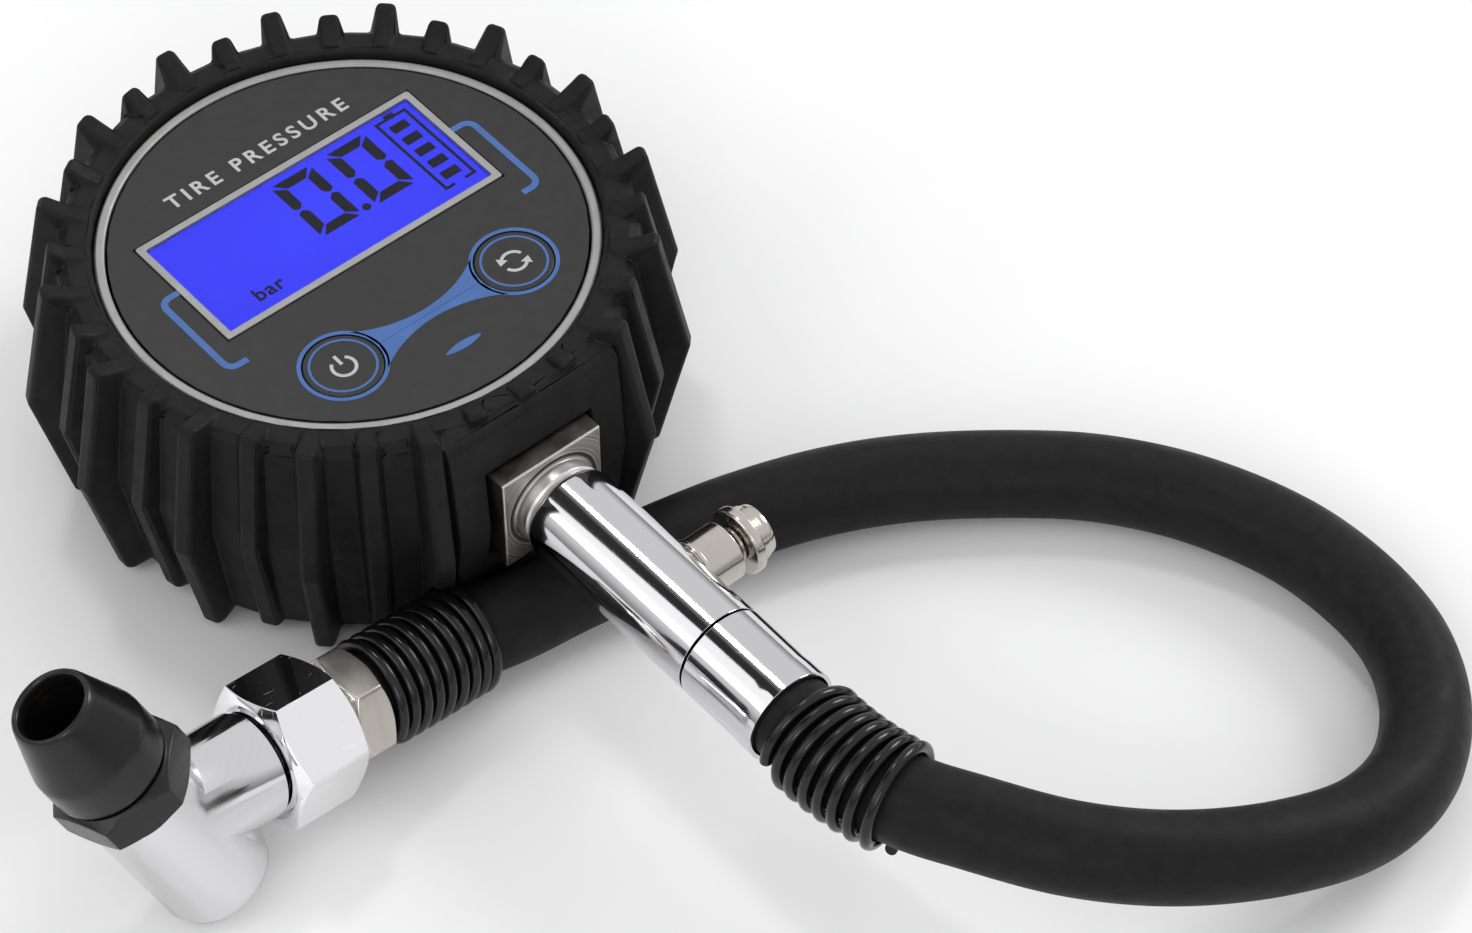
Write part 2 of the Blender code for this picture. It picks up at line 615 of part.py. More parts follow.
def build_stem():
    low = (-BLOCK_HALF, -BLOCK_HALF, BLOCK_BACK)
    block = box("stem_block", low, (BLOCK_HALF, BLOCK_HALF, BLOCK_FRONT), STEM_FRAME, BLOCK, 0.25)
    nipple = disc("block_nipple", NIPPLE_R, NIPPLE_END, BLOCK_BACK + 1, STEM_FRAME, steps=32)
    front = [(0, SPIGOT_END), (SPIGOT_R, SPIGOT_END), (SPIGOT_R, NECK_END), (NECK_R, NECK_END)]
    front += [(NECK_R, BLOCK_FRONT - 1), (0, BLOCK_FRONT - 1)]
    neck = lathe("block_neck", front, STEM_FRAME, None, False, 32)
    bore = disc("block_bore", PASSAGE_R, 20, 50, STEM_FRAME, steps=16)
    join(block, nipple, neck)
    cut(block, bore)
    can = [(0, -18.2), (5.0, -18.2), (5.6, -18.8), (5.6, -23.8), (2.6, -23.8), (2.6, -23.0), (0, -23.0)]
    lathe("pressure_sensor", [(r, -z) for r, z in reversed(can)], STEM_FRAME, SENSOR, False, 24)
    bend = [math.pi * 2 * k / 8 for k in range(8)]
    seal = [(4.0 + 0.6 * math.cos(a), 24.7 - 0.6 * math.sin(a)) for a in bend]
    lathe("sensor_seal", seal, STEM_FRAME, SEAL, True, 24)
    body = [
        (PASSAGE_R, BODY_END),
        (STEM_R - 0.2, BODY_END),
        (STEM_R, BODY_END - 0.2),
        (STEM_R, BODY_START + 1.2),
        (STEM_R - 0.35, BODY_START + 0.35),
        (STEM_R - 1.2, BODY_START),
        (SPIGOT_R + GAP, BODY_START),
        (SPIGOT_R + GAP, SPIGOT_END + GAP),
        (PASSAGE_R, SPIGOT_END + GAP),
    ]
    valve = lathe("valve_body", body, STEM_FRAME, CHROME, True, 32)
    cut(valve, disc("valve_side_hole", 2.7, -2.4, 9.0, BLEED_FRAME, steps=24))
    mouth = [
        (2.0, FERRULE_START),
        (2.0, 70.3),
        (HOSE_BORE_R, 70.3),
        (HOSE_BORE_R, FERRULE_END),
        (FERRULE_R - 0.15, FERRULE_END),
        (FERRULE_R, FERRULE_END - 0.2),
        (FERRULE_R, FERRULE_END - 2.2),
        (STEM_R, FERRULE_END - 3.4),
        (STEM_R, FERRULE_START + 0.2),
        (STEM_R - 0.2, FERRULE_START),
    ]
    lathe("hose_ferrule", mouth, STEM_FRAME, CHROME, True, 32)


def build_bleeder():
    shell = [
        (1.4, BARREL_FLOOR),
        (BARREL_BORE_R, BARREL_FLOOR),
        (BARREL_BORE_R, BARREL_END),
        (BARREL_R - 0.25, BARREL_END),
        (BARREL_R, BARREL_END - 0.25),
        (BARREL_R, 3.6),
        (1.4, 3.6),
    ]
    barrel = lathe("bleeder_barrel", shell, BLEED_FRAME, NICKEL, True, 24)
    saddle = disc("barrel_saddle", STEM_R + 0.25, 40, 75, STEM_FRAME, steps=32)
    cut(barrel, saddle)
    spigot = ring("barrel_spigot", 1.5, 2.4, 2.5, 6.9, BLEED_FRAME)
    join(barrel, spigot)
    button = [
        (0, CAP_END),
        (CAP_R - 0.9, CAP_END),
        (CAP_R - 0.35, CAP_END - 0.4),
        (CAP_R - 0.3, CAP_END - 1.1),
        (CAP_R, CAP_END - 1.3),
        (CAP_R, COLLAR_END + 0.3),
        (COLLAR_R - 0.2, COLLAR_END + 0.3),
        (COLLAR_R, COLLAR_END),
        (COLLAR_R, COLLAR_START + 0.2),
        (COLLAR_R - 0.2, COLLAR_START),
        (PIN_R, COLLAR_START),
        (PIN_R, 1.0),
        (1.7, 1.0),
        (1.7, 0.5),
        (0, 0.5),
    ]
    lathe("bleeder_button", button, BLEED_FRAME, NICKEL, False, 24)
    ring("bleeder_seal", PIN_R + GAP, 2.2, 1.25, 2.15, BLEED_FRAME, SEAL, 20)
    coil("bleeder_spring", 2.1, 0.28, 7.7, 11.2, 0.95, BLEED_FRAME, SPRING_STEEL, 11)


def smooth_route(points, count):
    """Evenly spaced points on a centripetal curve through the route."""
    points = [Vector(p) for p in points]
    padded = [points[0] * 2 - points[1], *points, points[-1] * 2 - points[-2]]
    dense = []
    for a, b, c, d in zip(padded, padded[1:], padded[2:], padded[3:]):
        t1 = (b - a).length ** 0.5
        t2 = t1 + (c - b).length ** 0.5
        t3 = t2 + (d - c).length ** 0.5
        for k in range(24):
            t = t1 + (t2 - t1) * k / 24
            p = a * ((t1 - t) / t1) + b * (t / t1)
            q = b * ((t2 - t) / (t2 - t1)) + c * ((t - t1) / (t2 - t1))
            r = c * ((t3 - t) / (t3 - t2)) + d * ((t - t2) / (t3 - t2))
            p = p * ((t2 - t) / t2) + q * (t / t2)
            q = q * ((t3 - t) / (t3 - t1)) + r * ((t - t1) / (t3 - t1))
            dense.append(p * ((t2 - t) / (t2 - t1)) + q * ((t - t1) / (t2 - t1)))
    dense.append(points[-1])
    marks = [0.0]
    for one, two in zip(dense, dense[1:]):
        marks.append(marks[-1] + (two - one).length)
    even = []
    place = 0
    for k in range(count):
        want = marks[-1] * k / (count - 1)
        while place < len(marks) - 2 and marks[place + 1] < want:
            place += 1
        share = (want - marks[place]) / (marks[place + 1] - marks[place])
        even.append(dense[place].lerp(dense[place + 1], share))
    return even


def guard(name, line, low, high):
    """A close coil wound round the hose, between two lengths along its centre line."""
    marks = [0.0]
    for one, two in zip(line, line[1:]):
        marks.append(marks[-1] + (two - one).length)
    turns = (high - low) / GUARD_PITCH
    count = int(turns * 14)
    points = []
    place = 0
    for i in range(count + 1):
        want = low + (high - low) * i / count
        while marks[place + 1] < want:
            place += 1
        share = (want - marks[place]) / (marks[place + 1] - marks[place])
        middle = line[place].lerp(line[place + 1], share)
        ahead = (line[place + 2] - line[place - 1]).normalized()
        side = ahead.cross(Vector((0, 0, 1))).normalized()
        rise = side.cross(ahead)
        angle = 2 * math.pi * turns * i / count
        points.append(middle + (side * math.cos(angle) + rise * math.sin(angle)) * GUARD_R)
    wire(name, points, WIRE_R, HEAD_FRAME, GUARD)


def build_hose():
    tail = [CHUCK_C + TUBE_AXIS * s for s in (CHUCK_GUARD[1], 38.0, HOSE_END)]
    route = [*ROUTE, *tail]
    wire("hose", smooth_route(route, HOSE_POINTS), HOSE_R, HEAD_FRAME, HOSE, 3)
    fine = smooth_route(route, 600)
    length = sum((two - one).length for one, two in zip(fine, fine[1:]))
    guard("hose_guard_stem", fine, STEM_GUARD[0] - HOSE_START, STEM_GUARD[1] - HOSE_START)
    guard("hose_guard_chuck", fine, length + HOSE_END - CHUCK_GUARD[1], length + HOSE_END - CHUCK_GUARD[0])


def chamfered_hex(name, radius, low, high, frame, finish, turn=0.0):
    body = prism(name, 6, radius, low, high, frame, finish, turn)
    flats = radius * math.cos(math.pi / 6)
    limit = [
        (0, high + 1),
        (flats - 1.4, high + 1),
        (radius + 1.2, high - 1.0),
        (radius + 1.2, low + 1.0),
        (flats - 1.4, low - 1),
        (0, low - 1),
    ]
    shape = lathe(f"{name}_chamfer", limit, frame, None, False, 36)
    boolean(body, shape, "INTERSECT")
    return body


def build_chuck():
    nut = chamfered_hex("hose_end_nut", NUT_R, NUT_START, NUT_END, TUBE_FRAME, NICKEL, math.radians(6))
    cut(nut, disc("nut_bore", HOSE_BORE_R, 20, 34, TUBE_FRAME, steps=28))
    swivel = chamfered_hex("swivel_coupling", HEX_R, HEX_START, HEX_END, TUBE_FRAME, CHROME, HEX_TURN)
    cut(swivel, disc("swivel_socket", 5.3, 10, 20.5, TUBE_FRAME, steps=28))
    cut(swivel, disc("swivel_bore", PASSAGE_R, 15, 30, TUBE_FRAME, steps=16))
    end = CHUCK_END
    profile = [
        (0, COLLAR_LOW - GAP),
        (CHUCK_R, COLLAR_LOW - GAP),
        (CHUCK_R, end + 2.2),
        (CHUCK_R - 0.55, end + 0.85),
        (CHUCK_R - 1.9, end + 0.1),
        (0, end),
    ]
    body = lathe("chuck_body", profile, NOSE_FRAME, CHROME, False, 32)
    arm = [(0, 20.2), (4.6, 20.2), (5.0, 19.8), (5.0, HEX_START - GAP), (TUBE_R, HEX_START - GAP)]
    arm += [(TUBE_R, 0.0), (0, 0.0)]
    join(body, lathe("chuck_arm", arm, TUBE_FRAME, None, False, 32))
    cut(body, disc("chuck_well", 3.2, -6.5, 10, NOSE_FRAME, steps=20))
    cut(body, disc("chuck_passage", PASSAGE_R, 0.4, 25, TUBE_FRAME, steps=16))
    collar = chamfered_hex("nose_collar", CHUCK_COLLAR_R, COLLAR_LOW, COLLAR_TOP, NOSE_FRAME, NOSE, COLLAR_TURN)
    cut(collar, disc("collar_bore", 3.4, -5, 20, NOSE_FRAME, steps=24))
    cone = [
        (MOUTH_R, TIP - 0.5),
        (MOUTH_R + 0.25, TIP - 0.1),
        (NOSE_TIP_R - 0.3, TIP),
        (NOSE_TIP_R + 0.1, TIP - 0.5),
        (NOSE_R - 0.15, CONE_END + 0.2),
        (NOSE_R, CONE_END - 0.4),
        (NOSE_R, COLLAR_TOP + GAP + 0.3),
        (NOSE_R - 0.3, COLLAR_TOP + GAP),
        (3.4, COLLAR_TOP + GAP),
        (3.4, COLLAR_TOP + 1.5),
        (MOUTH_R, COLLAR_TOP + 1.5),
    ]
    lathe("nose_cone", cone, NOSE_FRAME, NOSE, True, 28)
    ring("nose_seal", 2.1, MOUTH_R - 0.15, COLLAR_TOP + 1.9, COLLAR_TOP + 4.4, NOSE_FRAME, SEAL, 24)
    plunger = [
        (0, TIP - 6.2),
        (0.7, TIP - 6.2),
        (0.9, TIP - 6.5),
        (0.9, COLLAR_LOW + 1.0),
        (2.7, COLLAR_LOW + 0.5),
        (2.7, COLLAR_LOW - 1.0),
        (0, COLLAR_LOW - 1.0),
    ]
    lathe("chuck_plunger", plunger, NOSE_FRAME, BRASS, False, 20)
    coil("plunger_spring", 2.2, 0.3, -5.7, COLLAR_LOW - 1.7, 1.35, NOSE_FRAME, SPRING_STEEL, 11)


reset()
build_boot()
build_case()
build_power()
build_face()
build_board()
build_stem()
build_bleeder()
build_hose()
build_chuck()
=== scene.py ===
"""Looks of a digital tire pressure gauge, laid out as an add-on: an operator for each group of
pieces, their sizes and colours in property groups, and a panel that lists them. The helpers take
millimetres; a finished piece is in metres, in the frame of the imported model."""

import math

import bmesh
import bpy
from bpy.props import FloatProperty, FloatVectorProperty, IntProperty, PointerProperty
from mathutils import Matrix, Vector
from mathutils.bvhtree import BVHTree


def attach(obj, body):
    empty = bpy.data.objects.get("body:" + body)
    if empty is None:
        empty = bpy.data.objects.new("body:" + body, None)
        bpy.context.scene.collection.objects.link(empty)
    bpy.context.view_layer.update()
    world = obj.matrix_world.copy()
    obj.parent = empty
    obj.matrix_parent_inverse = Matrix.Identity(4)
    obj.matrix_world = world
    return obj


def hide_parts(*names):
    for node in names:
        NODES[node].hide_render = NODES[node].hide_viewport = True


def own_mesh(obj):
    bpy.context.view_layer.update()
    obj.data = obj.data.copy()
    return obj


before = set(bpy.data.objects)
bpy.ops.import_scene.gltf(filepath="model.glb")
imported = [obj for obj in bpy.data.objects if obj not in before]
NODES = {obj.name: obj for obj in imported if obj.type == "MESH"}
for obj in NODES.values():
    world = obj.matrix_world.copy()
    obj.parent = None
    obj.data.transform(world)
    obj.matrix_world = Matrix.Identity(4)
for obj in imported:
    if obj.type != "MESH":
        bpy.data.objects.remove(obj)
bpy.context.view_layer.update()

bl_info = {
    "name": "Tire pressure gauge",
    "version": (1, 0, 0),
    "blender": (4, 5, 0),
    "location": "View3D > Sidebar > Gauge",
    "description": "Builds the finished surfaces of a digital tire pressure gauge",
    "category": "Add Mesh",
}

# Sizes are in millimetres, and heights are above the surface that the gauge lies on
MM = 0.001
WELD = 0.0005
STEPS_ROUND = 96
SUBSTEPS = 24
FULL_TURN = 2 * math.pi

# The face: its trim ring, the print on its film, and the title's capitals
FACE_Z = 33.0
TRIM_LOW = 31.6
TRIM_TOP = 33.17
TRIM_INNER = 28.75
TRIM_OUTER = 30.0
PRINT_Z = FACE_Z + 0.005
PRINT_THICK = 0.03
CAPITAL_SHARE = 0.72

# The two buttons, mirrored across the middle, and the printed ring round each
BUTTON_X = 12.65
BUTTON_Y = -15.5
PAD_R = 4.75
FLANGE_R = 5.65
SWITCH_R = 1.6
BUTTON_TOP = FACE_Z + 0.05
SIGN_Z = BUTTON_TOP + 0.002
RING_R = 5.15

# The display's frame, its window and the lit film under it
FRAME_LOW = 31.7
FRAME_TOP = 33.15
WINDOW_X = 19.4
WINDOW_LOW_Y = -2.8
WINDOW_TOP_Y = 13.95
FILM_TOP = 32.5
FIGURE_TOP = FILM_TOP + 0.05

# The stem, by its height, the bleeder's place and distances from the head's middle
STEM_Z = 19.85
BLEED_Y = 56.8
STEM_R = 6.05
BLOCK_HALF = 7.25
BLOCK_END = 37.8
BODY_END = 67.7
FERRULE_START = 68.0
FERRULE_END = 80.0
FERRULE_R = 6.15
HOSE_START = 70.8
STEM_GUARD = (82.9, 97.4)

# The chuck's middle and its two axes, and distances along them
HOSE_END = 26.2
NUT_END = 30.5
GUARD_END = 46.3
CHUCK_C = Vector((-60.1, -42.3, 15.1))
NOSE_AXIS = Vector((-0.3448, 0.2337, 0.9091)).normalized()
TUBE_AXIS = Vector((0.9829, 0.0644, -0.1722)).normalized()
TIP = 24.1

# The hose's length, and its route from the stem, down to the surface and round to the chuck, in metres
ROUTE = (
    (0.0, -0.0708, 0.01985),
    (0.0, -0.0800, 0.01985),
    (0.0002, -0.0890, 0.01995),
    (0.0019, -0.0970, 0.0201),
    (0.0058, -0.1038, 0.0196),
    (0.0126, -0.1128, 0.0180),
    (0.0215, -0.1198, 0.0156),
    (0.0330, -0.1252, 0.0128),
    (0.0449, -0.1273, 0.0096),
    (0.0556, -0.1249, 0.0072),
    (0.0646, -0.1179, 0.0059),
    (0.0697, -0.1084, 0.00555),
    (0.0705, -0.0937, 0.00555),
    (0.0663, -0.0799, 0.00555),
    (0.0593, -0.0689, 0.00555),
    (0.0507, -0.0606, 0.00555),
    (0.0408, -0.0532, 0.00555),
    (0.0320, -0.0486, 0.0056),
    (0.0223, -0.0452, 0.0057),
    (0.0140, -0.0433, 0.0059),
    (0.0060, -0.0419, 0.0060),
    (-0.0010, -0.0408, 0.0061),
    (-0.0080, -0.0401, 0.0064),
)


def along(origin, axis):
    """A frame at a point with its Z along an axis."""
    turn = Vector((0, 0, 1)).rotation_difference(axis)
    return Matrix.Translation(origin) @ turn.to_matrix().to_4x4()


# Frames in which the pieces are turned about Z
HEAD = Matrix.Identity(4)
STEM = Matrix.Translation((0, 0, STEM_Z)) @ Matrix.Rotation(math.pi / 2, 4, "X")
BLEED = Matrix.Translation((0, -BLEED_Y, STEM_Z)) @ Matrix.Rotation(math.pi / 2, 4, "Y")
NOSE = along(CHUCK_C, NOSE_AXIS)
TUBE = along(CHUCK_C, TUBE_AXIS)
BUTTONS = {
    "power_button": Matrix.Translation((-BUTTON_X, BUTTON_Y, 0)),
    "function_button": Matrix.Translation((BUTTON_X, BUTTON_Y, 0)),
}


# ---------------------------------------------------------------------------------------- shapes


def turned(profile, closed=False, steps=STEPS_ROUND, edge=0.0):
    """A bmesh turned about Z from (radius, height) points, with its corners rounded by edge."""
    bm = bmesh.new()
    verts = [bm.verts.new((r, 0, z)) for r, z in profile]
    edges = [bm.edges.new(pair) for pair in zip(verts, verts[1:])]
    if closed:
        edges.append(bm.edges.new((verts[-1], verts[0])))
    bmesh.ops.spin(
        bm,
        geom=verts + edges,
        axis=(0, 0, 1),
        cent=(0, 0, 0),
        angle=FULL_TURN,
        steps=steps,
        use_merge=True,
    )
    bmesh.ops.remove_doubles(bm, verts=bm.verts, dist=WELD)
    bmesh.ops.recalc_face_normals(bm, faces=bm.faces)
    if edge:
        round_edges(bm, edge)
    return bm


def round_edges(bm, width, angle=25.0, segments=2):
    """Rounds the edges that turn by more than angle, in degrees."""
    sharp = math.radians(angle)
    edges = [e for e in bm.edges if len(e.link_faces) == 2 and e.calc_face_angle(0.0) > sharp]
    bmesh.ops.bevel(
        bm,
        geom=edges,
        offset=width,
        offset_type="OFFSET",
        segments=segments,
        profile=0.5,
        affect="EDGES",
        clamp_overlap=True,
        material=-1,
    )


def block(low, high, edge=0.0, segments=2):
    """A box between two corners, its edges rounded by edge."""
    bm = bmesh.new()
    bmesh.ops.create_cube(bm, size=1.0)
    bmesh.ops.scale(bm, vec=[b - a for a, b in zip(low, high)], verts=bm.verts)
    bmesh.ops.translate(bm, vec=[(a + b) / 2 for a, b in zip(low, high)], verts=bm.verts)
    if edge:
        round_edges(bm, edge, segments=segments)
    return bm


def plate(outline, low, high):
    """A flat plate from an outline of (x, y) points."""
    bm = bmesh.new()
    face = bm.faces.new([bm.verts.new((x, y, low)) for x, y in outline])
    caps = bmesh.ops.triangulate(bm, faces=[face], ngon_method="EAR_CLIP")["faces"]
    made = bmesh.ops.extrude_face_region(bm, geom=caps)
    top = [v for v in made["geom"] if isinstance(v, bmesh.types.BMVert)]
    bmesh.ops.translate(bm, vec=(0, 0, high - low), verts=top)
    return bm


def arc(centre, radius, start, end, count):
    """Points along an arc, its angles in degrees."""
    points = []
    for i in range(count + 1):
        angle = math.radians(start + (end - start) * i / count)
        points.append((centre[0] + radius * math.cos(angle), centre[1] + radius * math.sin(angle)))
    return points


def between(rail, other, low, high):
    """A flat plate between two rails with as many (x, y) points each."""
    bm = bmesh.new()
    rows = [[bm.verts.new((x, y, low)) for x, y in points] for points in (rail, other)]
    faces = []
    for k in range(len(rail) - 1):
        faces.append(bm.faces.new((rows[0][k], rows[0][k + 1], rows[1][k + 1], rows[1][k])))
    made = bmesh.ops.extrude_face_region(bm, geom=faces)
    top = [v for v in made["geom"] if isinstance(v, bmesh.types.BMVert)]
    bmesh.ops.translate(bm, vec=(0, 0, high - low), verts=top)
    return bm


def strip(points, width, low, high):
    """A printed line of even width along (x, y) points."""
    sides = ([], [])
    for i, (x, y) in enumerate(points):
        before = points[max(i - 1, 0)]
        after = points[min(i + 1, len(points) - 1)]
        ahead = Vector((after[0] - before[0], after[1] - before[1])).normalized()
        sides[0].append((x - ahead.y * width / 2, y + ahead.x * width / 2))
        sides[1].append((x + ahead.y * width / 2, y - ahead.x * width / 2))
    return between(*sides, low, high)


def band(inner, outer, low, high):
    """A flat ring about Z."""
    return turned([(inner, high), (outer, high), (outer, low), (inner, low)], True)


def merged(*parts):
    """One bmesh from several, each freed after it is copied."""
    whole = bmesh.new()
    for part in parts:
        mesh = bpy.data.meshes.new("part")
        part.to_mesh(mesh)
        part.free()
        whole.from_mesh(mesh)
        bpy.data.meshes.remove(mesh)
    return whole


def moved(bm, x, y):
    bmesh.ops.translate(bm, vec=(x, y, 0.0), verts=bm.verts)
    return bm


def hexagon(radius, low, high, chamfer, bore, turn):
    """A hexagon bar about Z with turned chamfers and a bore; turn is the angle of its first corner."""
    shoulder, overhang, run = 1.0, 1.2, 2.0
    flats = radius * math.cos(math.pi / 6)
    slope = (radius + overhang - (flats - chamfer)) / run
    start = flats - chamfer / 2
    top = [(bore, high), (start, high), (radius, high - shoulder)]
    bm = turned(top + [(radius, low + shoulder), (start, low), (bore, low)], True)
    for vert in bm.verts:
        reach = math.hypot(vert.co.x, vert.co.y)
        if reach < radius - 0.01:
            continue
        angle = math.atan2(vert.co.y, vert.co.x)
        sector = (angle + math.pi / 6) % (math.pi / 3) - math.pi / 6
        wide = flats / math.cos(math.pi / 6 - abs(sector))
        drop = max(wide - start, 0.0) / slope
        vert.co.z = high - drop if vert.co.z > (low + high) / 2 else low + drop
        vert.co.x = wide * math.cos(angle)
        vert.co.y = wide * math.sin(angle)
    bmesh.ops.rotate(bm, matrix=Matrix.Rotation(turn, 3, "Z"), verts=bm.verts)
    bmesh.ops.recalc_face_normals(bm, faces=bm.faces)
    round_edges(bm, 0.12, 22.0)
    return bm


def smooth_line(points, count):
    """Evenly spaced points on a centripetal curve through the given points."""
    points = [Vector(p) for p in points]
    padded = [points[0] * 2 - points[1], *points, points[-1] * 2 - points[-2]]
    dense = []
    for a, b, c, d in zip(padded, padded[1:], padded[2:], padded[3:]):
        t1 = (b - a).length ** 0.5
        t2 = t1 + (c - b).length ** 0.5
        t3 = t2 + (d - c).length ** 0.5
        for k in range(SUBSTEPS):
            t = t1 + (t2 - t1) * k / SUBSTEPS
            p = a * ((t1 - t) / t1) + b * (t / t1)
            q = b * ((t2 - t) / (t2 - t1)) + c * ((t - t1) / (t2 - t1))
            r = c * ((t3 - t) / (t3 - t2)) + d * ((t - t2) / (t3 - t2))
            p = p * ((t2 - t) / t2) + q * (t / t2)
            q = q * ((t3 - t) / (t3 - t1)) + r * ((t - t1) / (t3 - t1))
            dense.append(p * ((t2 - t) / (t2 - t1)) + q * ((t - t1) / (t2 - t1)))
    dense.append(points[-1])
    marks = distances(dense)
    even = []
    index = 0
    for k in range(count):
        want = marks[-1] * k / (count - 1)
        while index < len(marks) - 2 and marks[index + 1] < want:
            index += 1
        share = (want - marks[index]) / (marks[index + 1] - marks[index])
        even.append(dense[index].lerp(dense[index + 1], share))
    return even


def distances(points):
    """The length along a line at each of its points."""
    marks = [0.0]
    for one, two in zip(points, points[1:]):
        marks.append(marks[-1] + (two - one).length)
    return marks


def hose_line(count):
    """The hose's centre line in millimetres, from inside the ferrule to inside the nut."""
    tail = [CHUCK_C + TUBE_AXIS * s for s in (GUARD_END, 38.0, HOSE_END)]
    return smooth_line([Vector(p) / MM for p in ROUTE] + tail, count)


def wound(line, low, high, radius, pitch, per_turn):
    """Points of a coil wound round a line, between two lengths along it."""
    marks = distances(line)
    turns = (high - low) / pitch
    count = int(turns * per_turn)
    points = []
    index = 0
    for i in range(count + 1):
        want = low + (high - low) * i / count
        while marks[index + 1] < want:
            index += 1
        share = (want - marks[index]) / (marks[index + 1] - marks[index])
        middle = line[index].lerp(line[index + 1], share)
        ahead = (line[index + 2] - line[index - 1]).normalized()
        side = ahead.cross(Vector((0, 0, 1))).normalized()
        rise = side.cross(ahead)
        angle = FULL_TURN * turns * i / count
        points.append(middle + (side * math.cos(angle) + rise * math.sin(angle)) * radius)
    return points


def helix(radius, low, high, pitch, place):
    """Points of a spring about a frame's Z, its end turns lying flat."""
    turns = (high - low) / pitch + 2
    count = int(turns * 40)
    points = []
    for i in range(count + 1):
        turn = turns * i / count
        rise = min(max((turn - 1) / (turns - 2), 0.0), 1.0)
        angle = FULL_TURN * turn
        height = low + (high - low) * rise
        points.append(place @ Vector((radius * math.cos(angle), radius * math.sin(angle), height)))
    return points


# ------------------------------------------------------------------------------------ finishing


def placed(name, data):
    """A new object at the origin."""
    obj = bpy.data.objects.new(name, data)
    bpy.context.scene.collection.objects.link(obj)
    return obj


def solid(name, bm):
    """A new object from a bmesh, which is freed."""
    mesh = bpy.data.meshes.new(name)
    bm.to_mesh(mesh)
    bm.free()
    return placed(name, mesh)


def settle(obj, body, look, stands_for=()):
    """Gives an object its finish and lets it ride on its body."""
    obj.data.materials.append(finish(look))
    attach(obj, body)
    if stands_for:
        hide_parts(*stands_for)
    return obj


def refinish(name, look):
    """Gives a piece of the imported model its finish."""
    materials = NODES[name].data.materials
    materials.clear()
    materials.append(finish(look))


def smoothed(obj, crease):
    """Smooth shading with sharp edges past crease, in degrees."""
    obj.data.shade_smooth()
    obj.data.set_sharp_from_angle(angle=math.radians(crease))


def flatten_shading(obj):
    """Lets large flats keep their own normals beside their rounded edges."""
    flats = obj.modifiers.new("flats", "WEIGHTED_NORMAL")
    flats.weight = 90
    flats.keep_sharp = True


def piece(name, bm, look, place, stands_for=(), body="gauge", crease=32.0):
    """Makes a finished piece from a bmesh in millimetres that stands in a frame of its own."""
    bmesh.ops.remove_doubles(bm, verts=bm.verts, dist=WELD)
    bmesh.ops.recalc_face_normals(bm, faces=bm.faces)
    bmesh.ops.transform(bm, matrix=Matrix.Scale(MM, 4) @ place, verts=bm.verts)
    obj = solid(name, bm)
    if crease:
        smoothed(obj, crease)
        flatten_shading(obj)
    return settle(obj, body, look, stands_for)


def tube(name, points, radius, resolution):
    """A round wire or hose along points in millimetres, as a curve in metres."""
    curve = bpy.data.curves.new(name, "CURVE")
    curve.dimensions = "3D"
    curve.bevel_depth = radius * MM
    curve.bevel_resolution = resolution
    curve.use_fill_caps = True
    spline = curve.splines.new("POLY")
    spline.points.add(len(points) - 1)
    for target, point in zip(spline.points, points):
        target.co = (*(Vector(point) * MM), 1.0)
    spline.use_smooth = True
    return placed(name, curve)


def as_mesh(obj):
    """The same object as a welded mesh."""
    graph = bpy.context.evaluated_depsgraph_get()
    mesh = bpy.data.meshes.new_from_object(obj.evaluated_get(graph))
    name = obj.name
    bpy.data.objects.remove(obj)
    bm = bmesh.new()
    bm.from_mesh(mesh)
    bmesh.ops.remove_doubles(bm, verts=bm.verts, dist=0.000001)
    bmesh.ops.recalc_face_normals(bm, faces=bm.faces)
    bm.to_mesh(mesh)
    bm.free()
    return placed(name, mesh)


def coil(name, points, radius, body, stands_for):
    """A wire spring, as a mesh."""
    spring = as_mesh(tube(name, points, radius, 4))
    spring.data.shade_smooth()
    return settle(spring, body, "spring", [stands_for])


def lettering(name, words, height, spacing, bold, centre, low, look, slot):
    """Plain raised print on the head, height tall in millimetres and centred on a point."""
    text = bpy.data.curves.new(name, "FONT")
    text.body = words
    text.size = height / CAPITAL_SHARE
    text.space_character = spacing
    text.align_x = "CENTER"
    text.align_y = "CENTER"
    text.extrude = PRINT_THICK / 2
    text.offset = bold
    text.resolution_u = 6
    made = as_mesh(placed(name, text))
    place = Matrix.Translation((*centre, low + PRINT_THICK / 2))
    made.data.transform(Matrix.Scale(MM, 4) @ place)
    return settle(made, "gauge", look)


# --------------------------------------------------------------------------------------- finishes


def wire_up(tree, made, values):
    """Links or sets a node's inputs, by name or by number."""
    for key, value in values.items():
        socket = made.inputs[key]
        if isinstance(value, bpy.types.NodeSocket):
            tree.links.new(value, socket)
        elif socket.type == "RGBA":
            socket.default_value = (*value[:3], 1.0)
        else:
            socket.default_value = value
    return made


def node(tree, kind, values=None, **settings):
    made = tree.nodes.new("ShaderNode" + kind)
    for key, value in settings.items():
        setattr(made, key, value)
    return wire_up(tree, made, values or {})


def ramp(tree, value, low, high, out_low, out_high):
    """A value or mask carried from one range to another, clamped."""
    ends = {"From Min": low, "From Max": high, "To Min": out_low, "To Max": out_high}
    return node(tree, "MapRange", {"Value": value, **ends}).outputs["Result"]


def blend(tree, mask, one, two):
    """A colour between two, by a mask."""
    return node(tree, "Mix", {0: mask, 6: one, 7: two}, data_type="RGBA").outputs[2]


def maths(tree, operation, one, two):
    return node(tree, "Math", {0: one, 1: two}, operation=operation).outputs[0]


